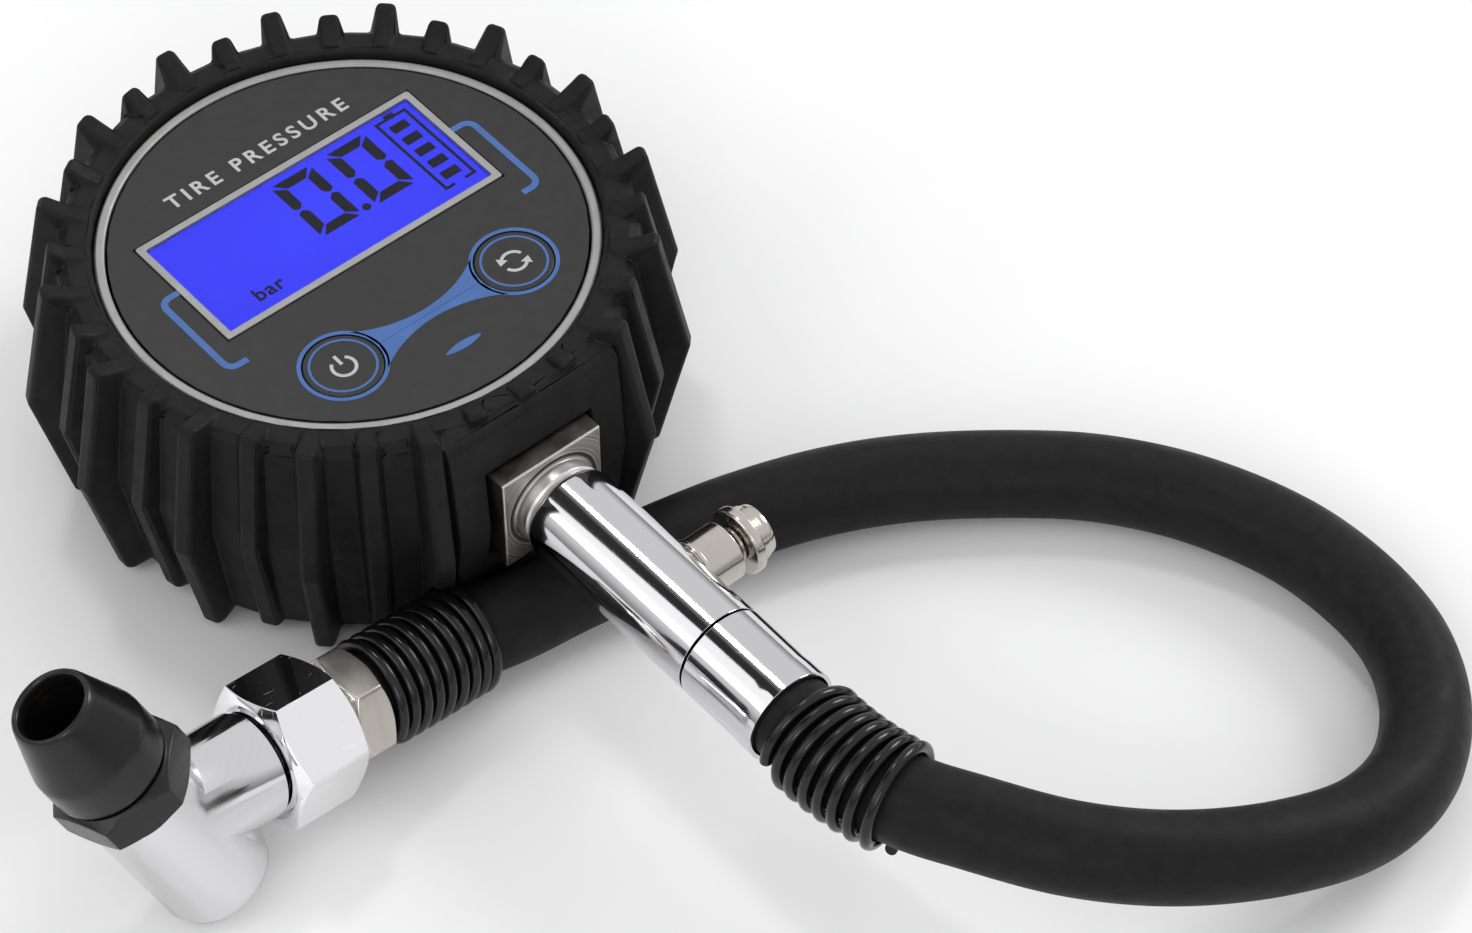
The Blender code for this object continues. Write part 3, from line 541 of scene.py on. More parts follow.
def noise(tree, vector, scale, detail, **more):
    made = node(tree, "TexNoise", {"Vector": vector, "Scale": scale, "Detail": detail, **more})
    return made.outputs["Fac"]


def off_axis(tree, vector):
    """The distance from a frame's own axis."""
    flat = node(tree, "VectorMath", {0: vector, 1: (1.0, 1.0, 0.0)}, operation="MULTIPLY")
    reach = node(tree, "VectorMath", {0: flat.outputs[0]}, operation="LENGTH")
    return reach.outputs["Value"]


def effect(name, setting, outputs, build):
    """A shader node group with named inputs and outputs, built once."""
    group = bpy.data.node_groups.get(name)
    if group:
        return group
    group = bpy.data.node_groups.new(name, "ShaderNodeTree")
    group.interface.new_socket("Vector", in_out="INPUT", socket_type="NodeSocketVector")
    if setting:
        group.interface.new_socket(setting, in_out="INPUT", socket_type="NodeSocketFloat")
    for label in outputs:
        group.interface.new_socket(label, in_out="OUTPUT", socket_type="NodeSocketFloat")
    entry = group.nodes.new("NodeGroupInput")
    leave = group.nodes.new("NodeGroupOutput")
    for label, value in zip(outputs, build(group, entry.outputs)):
        group.links.new(value, leave.inputs[label])
    return group


def grain_effect():
    """Fine moulded texture with a slow mottle under it."""

    def build(tree, given):
        slow_scale = maths(tree, "MULTIPLY", given["Scale"], 0.07)
        slow = noise(tree, given["Vector"], slow_scale, 3.0)
        fine = noise(tree, given["Vector"], given["Scale"], 4.0)
        return fine, ramp(tree, slow, 0.3, 0.7, 0.0, 1.0)

    return effect("moulded_grain", "Scale", ["Grain", "Mottle"], build)


def turning_effect():
    """Tool marks that run round a turned piece, one line after another along its axis."""

    def build(tree, given):
        flat = node(tree, "Mapping", {"Vector": given["Vector"], "Scale": (0.03, 0.03, 1.0)})
        lines = noise(tree, flat.outputs[0], given["Fineness"], 5.0)
        return lines, ramp(tree, lines, 0.35, 0.65, 0.0, 1.0)

    return effect("turning_marks", "Fineness", ["Height", "Streak"], build)


def facing_effect():
    """Tool marks that run in rings round an axis, as a cutter leaves on an end face."""

    def build(tree, given):
        values = {"W": off_axis(tree, given["Vector"]), "Scale": given["Fineness"], "Detail": 4.0}
        lines = node(tree, "TexNoise", values, noise_dimensions="1D").outputs["Fac"]
        return lines, ramp(tree, lines, 0.38, 0.62, 0.0, 1.0)

    return effect("facing_marks", "Fineness", ["Height", "Streak"], build)


def handling_effect():
    """Smudges from fingers, and thin scratches in two directions."""

    def build(tree, given):
        smudge = noise(tree, given["Vector"], 0.22, 5.0, Distortion=1.2)
        masks = []
        for turn in (0.5, 2.2):
            values = {"Vector": given["Vector"], "Rotation": (turn, 0.4 * turn, turn)}
            lie = node(tree, "Mapping", values)
            stretch = node(tree, "Mapping", {"Vector": lie.outputs[0], "Scale": (0.06, 2.4, 0.5)})
            masks.append(ramp(tree, noise(tree, stretch.outputs[0], 1.0, 2.0), 0.69, 0.73, 0.0, 1.0))
        return ramp(tree, smudge, 0.35, 0.7, 0.0, 1.0), maths(tree, "MAXIMUM", *masks)

    return effect("handling_marks", None, ["Smudge", "Scratch"], build)


def measured(tree, place=HEAD):
    """The surface's own coordinates, in millimetres, in a frame."""
    values = {
        "Vector": node(tree, "TexCoord").outputs["Object"],
        "Location": place.translation * MM,
        "Rotation": place.to_euler(),
        "Scale": (MM, MM, MM),
    }
    return node(tree, "Mapping", values, vector_type="TEXTURE").outputs["Vector"]


def use_effect(tree, group, **values):
    made = tree.nodes.new("ShaderNodeGroup")
    made.node_tree = group
    return wire_up(tree, made, values).outputs


def handled(tree, vector):
    return use_effect(tree, handling_effect(), Vector=vector)


def smudged(tree, marks, clean, soiled):
    """Roughness between two values, by the smudges."""
    return ramp(tree, marks["Smudge"], 0.0, 1.0, clean, soiled)


def start(name, place=HEAD):
    """A new material, its tree and the coordinates that its patterns read."""
    found = bpy.data.materials.new(name)
    found.use_nodes = True
    return found, found.node_tree, measured(found.node_tree, place)


def shade(colour, factor, lift=0.0):
    """A darker or paler copy of a colour."""
    return [min(c * factor + lift, 1.0) for c in colour]


def bumped(tree, shader, height, depth, under=None):
    """Puts a height, depth millimetres deep, on the shader's normal."""
    made = node(tree, "Bump", {"Height": height, "Distance": depth * MM, "Strength": 1.0})
    if under:
        tree.links.new(under, made.inputs["Normal"])
    tree.links.new(made.outputs["Normal"], shader.inputs["Normal"])
    return made.outputs["Normal"]


def dressed(made, look, height=None, depth=0.0):
    """Puts values and a bump on a material's shader."""
    tree = made.node_tree
    shader = wire_up(tree, tree.nodes["Principled BSDF"], look)
    if height:
        bumped(tree, shader, height, depth)
    return made


def worn_edges(tree, vector, low, high):
    """Where convex edges have rubbed, broken up by noise."""
    shape = node(tree, "NewGeometry")
    edge = ramp(tree, shape.outputs["Pointiness"], low, high, 0.0, 1.0)
    patchy = noise(tree, vector, 0.9, 4.0)
    return maths(tree, "MULTIPLY", edge, ramp(tree, patchy, 0.42, 0.62, 0.0, 1.0))


def rubber(name, colour, fineness, rough, scuff=0.0):
    """Moulded or extruded black rubber; scuff is how pale its rubbed edges are."""
    made, tree, vector = start(name)
    grain = use_effect(tree, grain_effect(), Vector=vector, Scale=fineness)
    marks = handled(tree, vector)
    base = blend(tree, grain["Mottle"], colour, shade(colour, 1.5))
    if scuff:
        pale = (scuff, scuff, scuff)
        base = blend(tree, worn_edges(tree, vector, 0.56, 0.66), base, pale)
        base = blend(tree, maths(tree, "MULTIPLY", marks["Scratch"], 0.3), base, pale)
    look = {
        "Base Color": base,
        "Roughness": smudged(tree, marks, rough - 0.06, rough + 0.08),
        "Specular IOR Level": 0.13,
    }
    return dressed(made, look, grain["Grain"], 0.02)


def plastic(name, colour, rough, fineness=5.0, depth=0.01, specular=0.3):
    """Moulded plastic or printed film."""
    made, tree, vector = start(name)
    grain = use_effect(tree, grain_effect(), Vector=vector, Scale=fineness)
    marks = handled(tree, vector)
    look = {
        "Base Color": blend(tree, grain["Mottle"], colour, shade(colour, 1.14, 0.002)),
        "Roughness": smudged(tree, marks, rough, rough + 0.1),
        "Specular IOR Level": specular,
    }
    return dressed(made, look, grain["Grain"], depth)


def plated(name, colour, rough, place=HEAD, cut=0.0, wave=0.0, fineness=6.0, scratch=0.05, satin=0.0):
    """Plated or turned metal.

    cut is the depth of its tool marks and wave of its polish, scratch how dull its scratches are,
    and satin how much duller it is beside its own axis.
    """
    made, tree, vector = start(name, place)
    marks = handled(tree, vector)
    lines = use_effect(tree, turning_effect(), Vector=vector, Fineness=fineness)
    tone = maths(tree, "MULTIPLY", lines["Streak"], 0.6 if cut else 0.15)
    dull = smudged(tree, marks, rough, rough * 1.25)
    scratched = maths(tree, "MULTIPLY", marks["Scratch"], scratch)
    if satin:
        inner, outer = 6.4, 9.5
        dull = maths(tree, "ADD", dull, ramp(tree, off_axis(tree, vector), inner, outer, satin, 0.0))
    look = {
        "Base Color": blend(tree, tone, colour, shade(colour, 0.86)),
        "Roughness": maths(tree, "ADD", dull, scratched),
        "Metallic": 1.0,
    }
    dressed(made, look)
    shader = tree.nodes["Principled BSDF"]
    under = None
    if wave:
        under = bumped(tree, shader, noise(tree, vector, 0.35, 1.0), wave)
    if cut:
        bumped(tree, shader, lines["Height"], cut, under)
    return made


def milled(name, colour, dark):
    """The square block: faced in rings on its end, sawn and dull on its sides."""
    made, tree, vector = start(name, STEM)
    marks = handled(tree, vector)
    rings = use_effect(tree, facing_effect(), Vector=vector, Fineness=4.0)
    split = node(tree, "SeparateXYZ", {"Vector": vector}).outputs
    front = ramp(tree, split["Z"], BLOCK_END - 0.3, BLOCK_END - 0.05, 0.0, 1.0)
    neck = ramp(tree, split["Z"], BLOCK_END + 0.1, BLOCK_END + 0.2, 0.0, 1.0)
    spans = [maths(tree, "ABSOLUTE", split[axis], 0.0) for axis in ("X", "Y")]
    rim_low, rim_high = BLOCK_HALF - 0.35, BLOCK_HALF - 0.15
    rim = ramp(tree, maths(tree, "MAXIMUM", *spans), rim_low, rim_high, 0.0, 1.0)
    bright = maths(tree, "MAXIMUM", maths(tree, "MULTIPLY", rim, front), neck)
    tone = blend(tree, rings["Streak"], colour, shade(colour, 0.55))
    side = blend(tree, marks["Smudge"], dark, shade(dark, 1.5))
    look = {
        "Base Color": blend(tree, bright, blend(tree, front, side, tone), (0.72, 0.71, 0.7)),
        "Roughness": smudged(tree, marks, 0.3, 0.42),
        "Metallic": 1.0,
    }
    return dressed(made, look, maths(tree, "MULTIPLY", rings["Height"], front), 0.05)


def enamel(name, colour, rough):
    """Gloss or satin black finish on metal."""
    made, tree, vector = start(name)
    grain = use_effect(tree, grain_effect(), Vector=vector, Scale=3.0)
    marks = handled(tree, vector)
    rubbed = maths(tree, "MULTIPLY", worn_edges(tree, vector, 0.62, 0.8), 0.35)
    look = {
        "Base Color": blend(tree, rubbed, colour, (0.12, 0.12, 0.125)),
        "Roughness": smudged(tree, marks, rough, rough + 0.08),
        "Specular IOR Level": 0.4,
    }
    return dressed(made, look, grain["Grain"], 0.006)


def glowing(name, edge_colour, colour, strength):
    """The backlit display, a little brighter towards its middle."""
    middle_y = (WINDOW_LOW_Y + WINDOW_TOP_Y) / 2
    made, tree, vector = start(name, Matrix.Translation((0, middle_y, 0)))
    spread = node(tree, "Mapping", {"Vector": vector, "Scale": (0.04, 0.09, 0.0)})
    middle = node(tree, "TexGradient", {"Vector": spread.outputs[0]}, gradient_type="SPHERICAL")
    cloudy = ramp(tree, noise(tree, vector, 0.35, 2.0), 0.3, 0.7, 0.8, 1.1)
    mask = maths(tree, "MULTIPLY", middle.outputs["Fac"], cloudy)
    look = {
        "Emission Color": blend(tree, mask, edge_colour, colour),
        "Emission Strength": strength,
        "Base Color": (0.01, 0.01, 0.05),
        "Roughness": 0.4,
        "Specular IOR Level": 0.0,
    }
    return dressed(made, look)


def clear(name):
    """The clear window over the display."""
    made, tree, vector = start(name)
    marks = handled(tree, vector)
    look = {
        "Base Color": blend(tree, marks["Smudge"], (1.0, 1.0, 1.0), (0.965, 0.97, 0.98)),
        "Roughness": 0.0,
        "Transmission Weight": 1.0,
        "IOR": 1.2,
    }
    return dressed(made, look)


def laminate(name):
    """Green circuit board with copper runs under its mask."""
    made, tree, vector = start(name)
    runs = node(tree, "TexBrick", {"Vector": vector, "Scale": 0.8, "Mortar Size": 0.03})
    base = blend(tree, runs.outputs["Fac"], (0.01, 0.12, 0.04), (0.03, 0.22, 0.08))
    look = {"Base Color": base, "Roughness": 0.3}
    return dressed(made, look, runs.outputs["Fac"], 0.03)


def sleeve(name):
    """A dry cell's printed sleeve, with a metallic band at one end."""
    made, tree, vector = start(name)
    split = node(tree, "SeparateXYZ", {"Vector": vector})
    ends = ramp(tree, split.outputs["X"], 9.0, 9.3, 0.0, 1.0)
    base = blend(tree, ends, (0.03, 0.03, 0.035), (0.62, 0.36, 0.14))
    return dressed(made, {"Base Color": base, "Metallic": 0.6, "Roughness": 0.3})


FINISHES = {}


def finish(name):
    """The named finish, made the first time it is asked for."""
    colours = bpy.context.scene.gauge_colours
    makers = {
        "boot": lambda n: rubber(n, colours.rubber, 7.0, 0.5, 0.032),
        "hose": lambda n: rubber(n, colours.rubber, 9.0, 0.5),
        "seal": lambda n: rubber(n, colours.rubber, 6.0, 0.55),
        "moulding": lambda n: plastic(n, (0.02, 0.02, 0.022), 0.45),
        "film": lambda n: plastic(n, colours.film, 0.34, 9.0, 0.004),
        "blue_print": lambda n: plastic(n, colours.print_blue, 0.4, 5.0, 0.004),
        "pale_print": lambda n: plastic(n, (0.43, 0.43, 0.43), 0.4, 5.0, 0.004),
        "trim": lambda n: plated(n, (0.38, 0.38, 0.375), 0.5),
        "glow": lambda n: glowing(n, colours.display_edge, colours.display, 1.0),
        "segment": lambda n: plastic(n, (0.002, 0.002, 0.01), 0.35, 5.0, 0.002, 0.08),
        "clear": clear,
        "chrome": lambda n: plated(n, colours.chrome, 0.06, STEM),
        "cast_chrome": lambda n: plated(n, (0.72, 0.72, 0.725), 0.08, NOSE, wave=0.004, satin=0.14),
        # The swivel hexagon's chrome is a paler copy of the chrome; its raised colour paints the bright
        # reflection on its flats
        "hex_chrome_painted_reflection": lambda n: plated(n, (0.95, 0.95, 0.955), 0.07, TUBE, wave=0.002, scratch=0.3),
        "bleeder_nickel": lambda n: plated(n, colours.nickel, 0.16, BLEED, 0.004),
        "nut_nickel": lambda n: plated(n, colours.nickel, 0.2, TUBE, 0.008, fineness=3.0),
        "milled_block": lambda n: milled(n, (0.5, 0.48, 0.45), colours.block),
        "guard": lambda n: enamel(n, (0.004, 0.004, 0.0045), 0.17),
        "nose": lambda n: enamel(n, (0.006, 0.006, 0.0065), 0.22),
        "steel": lambda n: plated(n, (0.58, 0.57, 0.55), 0.25, cut=0.004),
        "spring": lambda n: plated(n, (0.5, 0.46, 0.42), 0.25, BLEED, 0.003),
        "brass": lambda n: plated(n, (0.78, 0.53, 0.24), 0.22, NOSE, 0.004),
        "laminate": laminate,
        "sleeve": sleeve,
        "diffuser": lambda n: plastic(n, (0.75, 0.76, 0.8), 0.4),
    }
    if name not in FINISHES:
        FINISHES[name] = makers[name](name)
    return FINISHES[name]


# ------------------------------------------------------------------------------------- properties


def length_prop(name, default, description):
    """A length in millimetres, shown as it is."""
    return FloatProperty(name=name, default=default, min=0.0, precision=3, description=description)


def colour_prop(name, default, description):
    return FloatVectorProperty(
        name=name, default=default, size=3, min=0.0, max=1.0, subtype="COLOR", description=description
    )


class GaugeSizes(bpy.types.PropertyGroup):
    """Sizes in millimetres that a user would change."""

    boot_round: length_prop("Boot edges", 0.28, "Rounding of the boot's moulded edges")
    hose_radius: length_prop("Hose radius", 5.35, "Outside radius of the hose")
    wire_radius: length_prop("Guard wire", 0.74, "Radius of the hose guards' wire")
    guard_pitch: length_prop("Guard pitch", 1.85, "Distance between the turns of a hose guard")
    ring_line: length_prop("Button ring", 0.5, "Width of the printed ring round a button")
    bracket_line: length_prop("Bracket", 0.85, "Width of the printed brackets beside the display")
    segment: length_prop("Segment", 1.42, "Width of a digit's segment")
    turns: IntProperty(
        name="Steps", default=STEPS_ROUND, min=24, max=256, description="Steps round a turned piece"
    )


class GaugeColours(bpy.types.PropertyGroup):
    """Colours that a user would change."""

    rubber: colour_prop("Rubber", (0.009, 0.009, 0.0093), "Boot and hose")
    film: colour_prop("Face film", (0.021, 0.021, 0.0215), "Ground of the face's print")
    print_blue: colour_prop("Blue print", (0.052, 0.125, 0.34), "Lines and rings on the face")
    display: colour_prop("Display", (0.036, 0.046, 0.97), "Middle of the backlit display")
    display_edge: colour_prop("Display edge", (0.03, 0.036, 0.88), "Edge of the backlit display")
    chrome: colour_prop("Chrome", (0.68, 0.68, 0.69), "Bright plated pieces")
    nickel: colour_prop("Nickel", (0.6, 0.565, 0.515), "Warm plated pieces")
    block: colour_prop("Stem block", (0.2, 0.185, 0.17), "The square connection")
    floor: colour_prop("Floor", (0.92, 0.92, 0.922), "The surface under the gauge")


# -------------------------------------------------------------------------------------- operators


class GAUGE_OT_stage(bpy.types.Operator):
    """Floor, lights and camera"""

    bl_idname = "gauge.stage"
    bl_label = "Stage"

    def execute(self, context):
        self.floor(context.scene)
        middle_y = -0.05
        for name, place, aim_z, size, power in (
            ("key", (0.13, 0.42, 0.92), 0.0, 0.14, 1.2),
            ("fill", (-0.8, 0.25, 0.8), 0.0, 0.8, 2.6),
            ("side", (0.85, -0.1, 0.55), 0.0, 0.35, 3.0),
            ("front", (-0.6, -0.75, 0.55), 0.01, 0.35, 1.5),
        ):
            lamp = bpy.data.lights.new(name, "AREA")
            lamp.size = size
            lamp.energy = power
            self.aimed(name, lamp, place, Vector((0.0, middle_y, aim_z)) - Vector(place))
        context.scene.world = self.studio()
        lens = bpy.data.cameras.new("camera")
        lens.lens = 116.2
        lens.sensor_width = 36.0
        way = Vector((0.4194, 0.4912, -0.7633))
        context.scene.camera = self.aimed("camera", lens, (-0.21399, -0.32113, 0.44421), way)
        context.scene.view_settings.view_transform = "Standard"
        return {"FINISHED"}

    def aimed(self, name, data, place, way):
        """A lamp or camera at a place, looking a way."""
        obj = placed(name, data)
        obj.location = place
        obj.rotation_mode = "QUATERNION"
        obj.rotation_quaternion = way.to_track_quat("-Z", "Y")
        return obj

    def floor(self, scene):
        bm = bmesh.new()
        bmesh.ops.create_grid(bm, x_segments=8, y_segments=8, size=1.5)
        floor = solid("floor", bm)
        made, tree, vector = start("floor_paint")
        colour = scene.gauge_colours.floor
        speck = ramp(tree, noise(tree, vector, 0.05, 4.0), 0.3, 0.7, 0.0, 1.0)
        paint = blend(tree, speck, colour, shade(colour, 0.985))
        floor.data.materials.append(dressed(made, {"Base Color": paint, "Roughness": 0.75}))

    def studio(self):
        """A bright room, dark round one direction and dimmer towards the horizon."""
        world = bpy.data.worlds.new("studio")
        world.use_nodes = True
        tree = world.node_tree
        way = node(tree, "TexCoord").outputs["Generated"]
        dark_way = Vector((-0.36, 0.49, 0.79)).normalized()
        facing = node(tree, "VectorMath", {0: way, 1: dark_way}, operation="DOT_PRODUCT")
        away = ramp(tree, facing.outputs["Value"], 0.965, 0.84, 0.0, 1.0)
        height = node(tree, "SeparateXYZ", {"Vector": way}).outputs["Z"]
        rise = ramp(tree, height, 0.0, 0.32, 0.3, 1.0)
        bright = maths(tree, "MULTIPLY", away, rise)
        light = blend(tree, bright, (0.04, 0.04, 0.04), (0.92, 0.92, 0.93))
        wire_up(tree, tree.nodes["Background"], {"Color": light, "Strength": 0.9})
        return world


class GAUGE_OT_hose(bpy.types.Operator):
    """The hose and the two wire guards on it"""

    bl_idname = "gauge.hose"
    bl_label = "Hose"

    def execute(self, context):
        sizes = context.scene.gauge_sizes
        line = hose_line(420)
        hose = tube("rubber_hose", line, sizes.hose_radius, 14)
        settle(hose, "gauge", "hose", ["hose"])
        end = distances(line)[-1] + HOSE_END
        clearance = 0.08
        radius = sizes.hose_radius + clearance + sizes.wire_radius
        spans = {
            "stem_guard": (STEM_GUARD[0] - HOSE_START, STEM_GUARD[1] - HOSE_START, "hose_guard_stem"),
            "chuck_guard": (end - GUARD_END, end - NUT_END, "hose_guard_chuck"),
        }
        for name, (low, high, stands_for) in spans.items():
            points = wound(line, low, high, radius, sizes.guard_pitch, 44)
            guard = tube(name, points, sizes.wire_radius, 5)
            settle(guard, "gauge", "guard", [stands_for])
        return {"FINISHED"}


class GAUGE_OT_boot(bpy.types.Operator):
    """The ribbed rubber boot, its moulded edges softened"""

    bl_idname = "gauge.boot"
    bl_label = "Boot"

    def execute(self, context):
        bm = bmesh.new()
        bm.from_mesh(NODES["rubber_boot"].data)
        bmesh.ops.remove_doubles(bm, verts=bm.verts, dist=0.00002)
        bmesh.ops.dissolve_degenerate(bm, edges=bm.edges, dist=0.00002)
        moulded = BVHTree.FromBMesh(bm)
        draft = solid("boot_draft", bm)
        round_off = draft.modifiers.new("round_off", "BEVEL")
        round_off.width = context.scene.gauge_sizes.boot_round * MM
        round_off.segments = 3
        round_off.limit_method = "ANGLE"
        round_off.angle_limit = math.radians(24)
        round_off.use_clamp_overlap = False
        skin = as_mesh(draft)
        skin.name = "boot"
        strays = 0.18 * MM
        for vert in skin.data.vertices:
            near, _, _, gap = moulded.find_nearest(vert.co)
            if gap > strays:
                vert.co = near
            vert.co.z = max(vert.co.z, 0.0)
        smoothed(skin, 35.0)
        flatten_shading(skin)
        settle(skin, "gauge", "boot", ["rubber_boot"])
        return {"FINISHED"}


class GAUGE_OT_face(bpy.types.Operator):
    """Trim ring, printed film and the buttons"""

    bl_idname = "gauge.face"
    bl_label = "Face"

    def execute(self, context):
        sizes = context.scene.gauge_sizes
        slope = 0.25
        ring = [(TRIM_INNER, FACE_Z), (TRIM_INNER + slope, TRIM_TOP), (TRIM_OUTER - slope, TRIM_TOP)]
        ring += [(TRIM_OUTER, FACE_Z), (TRIM_OUTER, TRIM_LOW), (TRIM_INNER, TRIM_LOW)]
        bm = turned(ring, True, 2 * STEPS_ROUND, 0.08)
        piece("trim_ring", bm, "trim", HEAD, ["bezel_ring"])
        refinish("face_overlay", "film")
        flange_top, flange_low, switch_top = 30.3, 29.5, 28.5
        pad = [(0, BUTTON_TOP), (PAD_R - 0.15, BUTTON_TOP), (PAD_R, BUTTON_TOP - 0.12)]
        pad += [(PAD_R, flange_top), (FLANGE_R, flange_top), (FLANGE_R, flange_low)]
        pad += [(SWITCH_R, flange_low), (SWITCH_R, switch_top), (0, switch_top)]
        for body, place in BUTTONS.items():
            bm = turned(pad, False, sizes.turns, 0.06)
            piece(f"{body}_pad", bm, "film", place, [body], body)
            inner = band(3.81, 4.11, SIGN_Z, BUTTON_TOP + PRINT_THICK)
            piece(f"{body}_inner_ring", inner, "blue_print", place, body=body)
        self.printed(sizes)
        self.button_signs()
        print_at = ((0.2, 18.2), PRINT_Z)
        words = "TIRE PRESSURE"
        lettering("face_title", words, 2.15, 1.38, 0.06, *print_at, "pale_print", "face_graphic")
        return {"FINISHED"}

    def printed(self, sizes):
        """Brackets, button rings, the bridge between the rings, and the leaf."""
        low, high = PRINT_Z, PRINT_Z + PRINT_THICK
        parts = []
        for side in (-1, 1):
            half = sizes.ring_line / 2
            ring = band(RING_R - half, RING_R + half, low, high)
            parts.append(moved(ring, BUTTON_X * side, BUTTON_Y))
            corners = arc((21.7, 4.8), 1.3, 90, 0, 10) + arc((21.7, -6.2), 1.3, 0, -90, 10)
            path = [(20.35, 6.1), *corners, (20.4, -7.5)]
            line = strip(path, sizes.bracket_line, low, high)
            if side < 0:
                bmesh.ops.scale(line, vec=(-1, 1, 1), verts=line.verts)
                bmesh.ops.reverse_faces(line, faces=line.faces)
            parts.append(line)
        parts += self.bridge(low, high)
        parts.append(self.leaf(low, high))
        piece("face_print", merged(*parts), "blue_print", HEAD, crease=0)

    def leaf(self, low, high):
        """The small leaf under the buttons, between two arcs."""
        middle_y, bow, half = -21.9, 7.2, 2.8
        rise = math.degrees(math.asin(half / bow))
        drop = bow * math.cos(math.radians(rise))
        upper = arc((0, middle_y - drop), bow, 89.5 - rise, 90.5 + rise, 16)
        lower = [(x, 2 * middle_y - y) for x, y in upper]
        return between(upper[1:-1], lower[1:-1], low, high)

    def bridge(self, low, high):
        """The waisted band that joins the two rings, as an upper and a lower half."""
        waist, sweep, end, half_steps = 0.88, 15.9, 9.45, 24
        upper, inner = [], []
        for k in range(2 * half_steps + 1):
            x = end * math.sin(math.pi / 2 * (k / half_steps - 1))
            upper.append((x, waist + sweep - math.sqrt(sweep**2 - x**2)))
            notch = RING_R**2 - (BUTTON_X - abs(x)) ** 2
            inner.append((x, math.sqrt(notch) if notch > 0 else -0.02))
        halves = []
        for flip in (1, -1):
            rails = [[(x, BUTTON_Y + flip * y) for x, y in rail] for rail in (upper, inner)]
            halves.append(between(*rails, low, high))
        return halves

    def button_signs(self):
        """A power sign on one button and a cycle sign on the other."""
        low, high = SIGN_Z, BUTTON_TOP + PRINT_THICK
        stroke, half = 0.42, 0.21
        bar = [(-half, 0.25), (half, 0.25), (half, 1.85), (-half, 1.85)]
        bow = arc((0, -0.15), 1.45, 130, 410, 40)
        power = merged(strip(bow, stroke, low, high), plate(bar, low, high))
        orbit, sweep, barb, reach = 1.5, 115, 0.72, 1.05
        turns = []
        for tail in (20, 200):
            turns.append(strip(arc((0, 0), orbit, tail, tail + sweep, 24), stroke, low, high))
            tip = math.radians(tail + sweep)
            out = Vector((math.cos(tip), math.sin(tip)))
            ahead = Vector((-out.y, out.x))
            head = [out * (orbit - barb), out * (orbit + barb), out * orbit + ahead * reach]
            turns.append(plate([tuple(p) for p in head], low, high))
        for (body, place), bm in zip(BUTTONS.items(), (power, merged(*turns))):
            piece(f"{body}_sign", bm, "pale_print", place, body=body, crease=0)


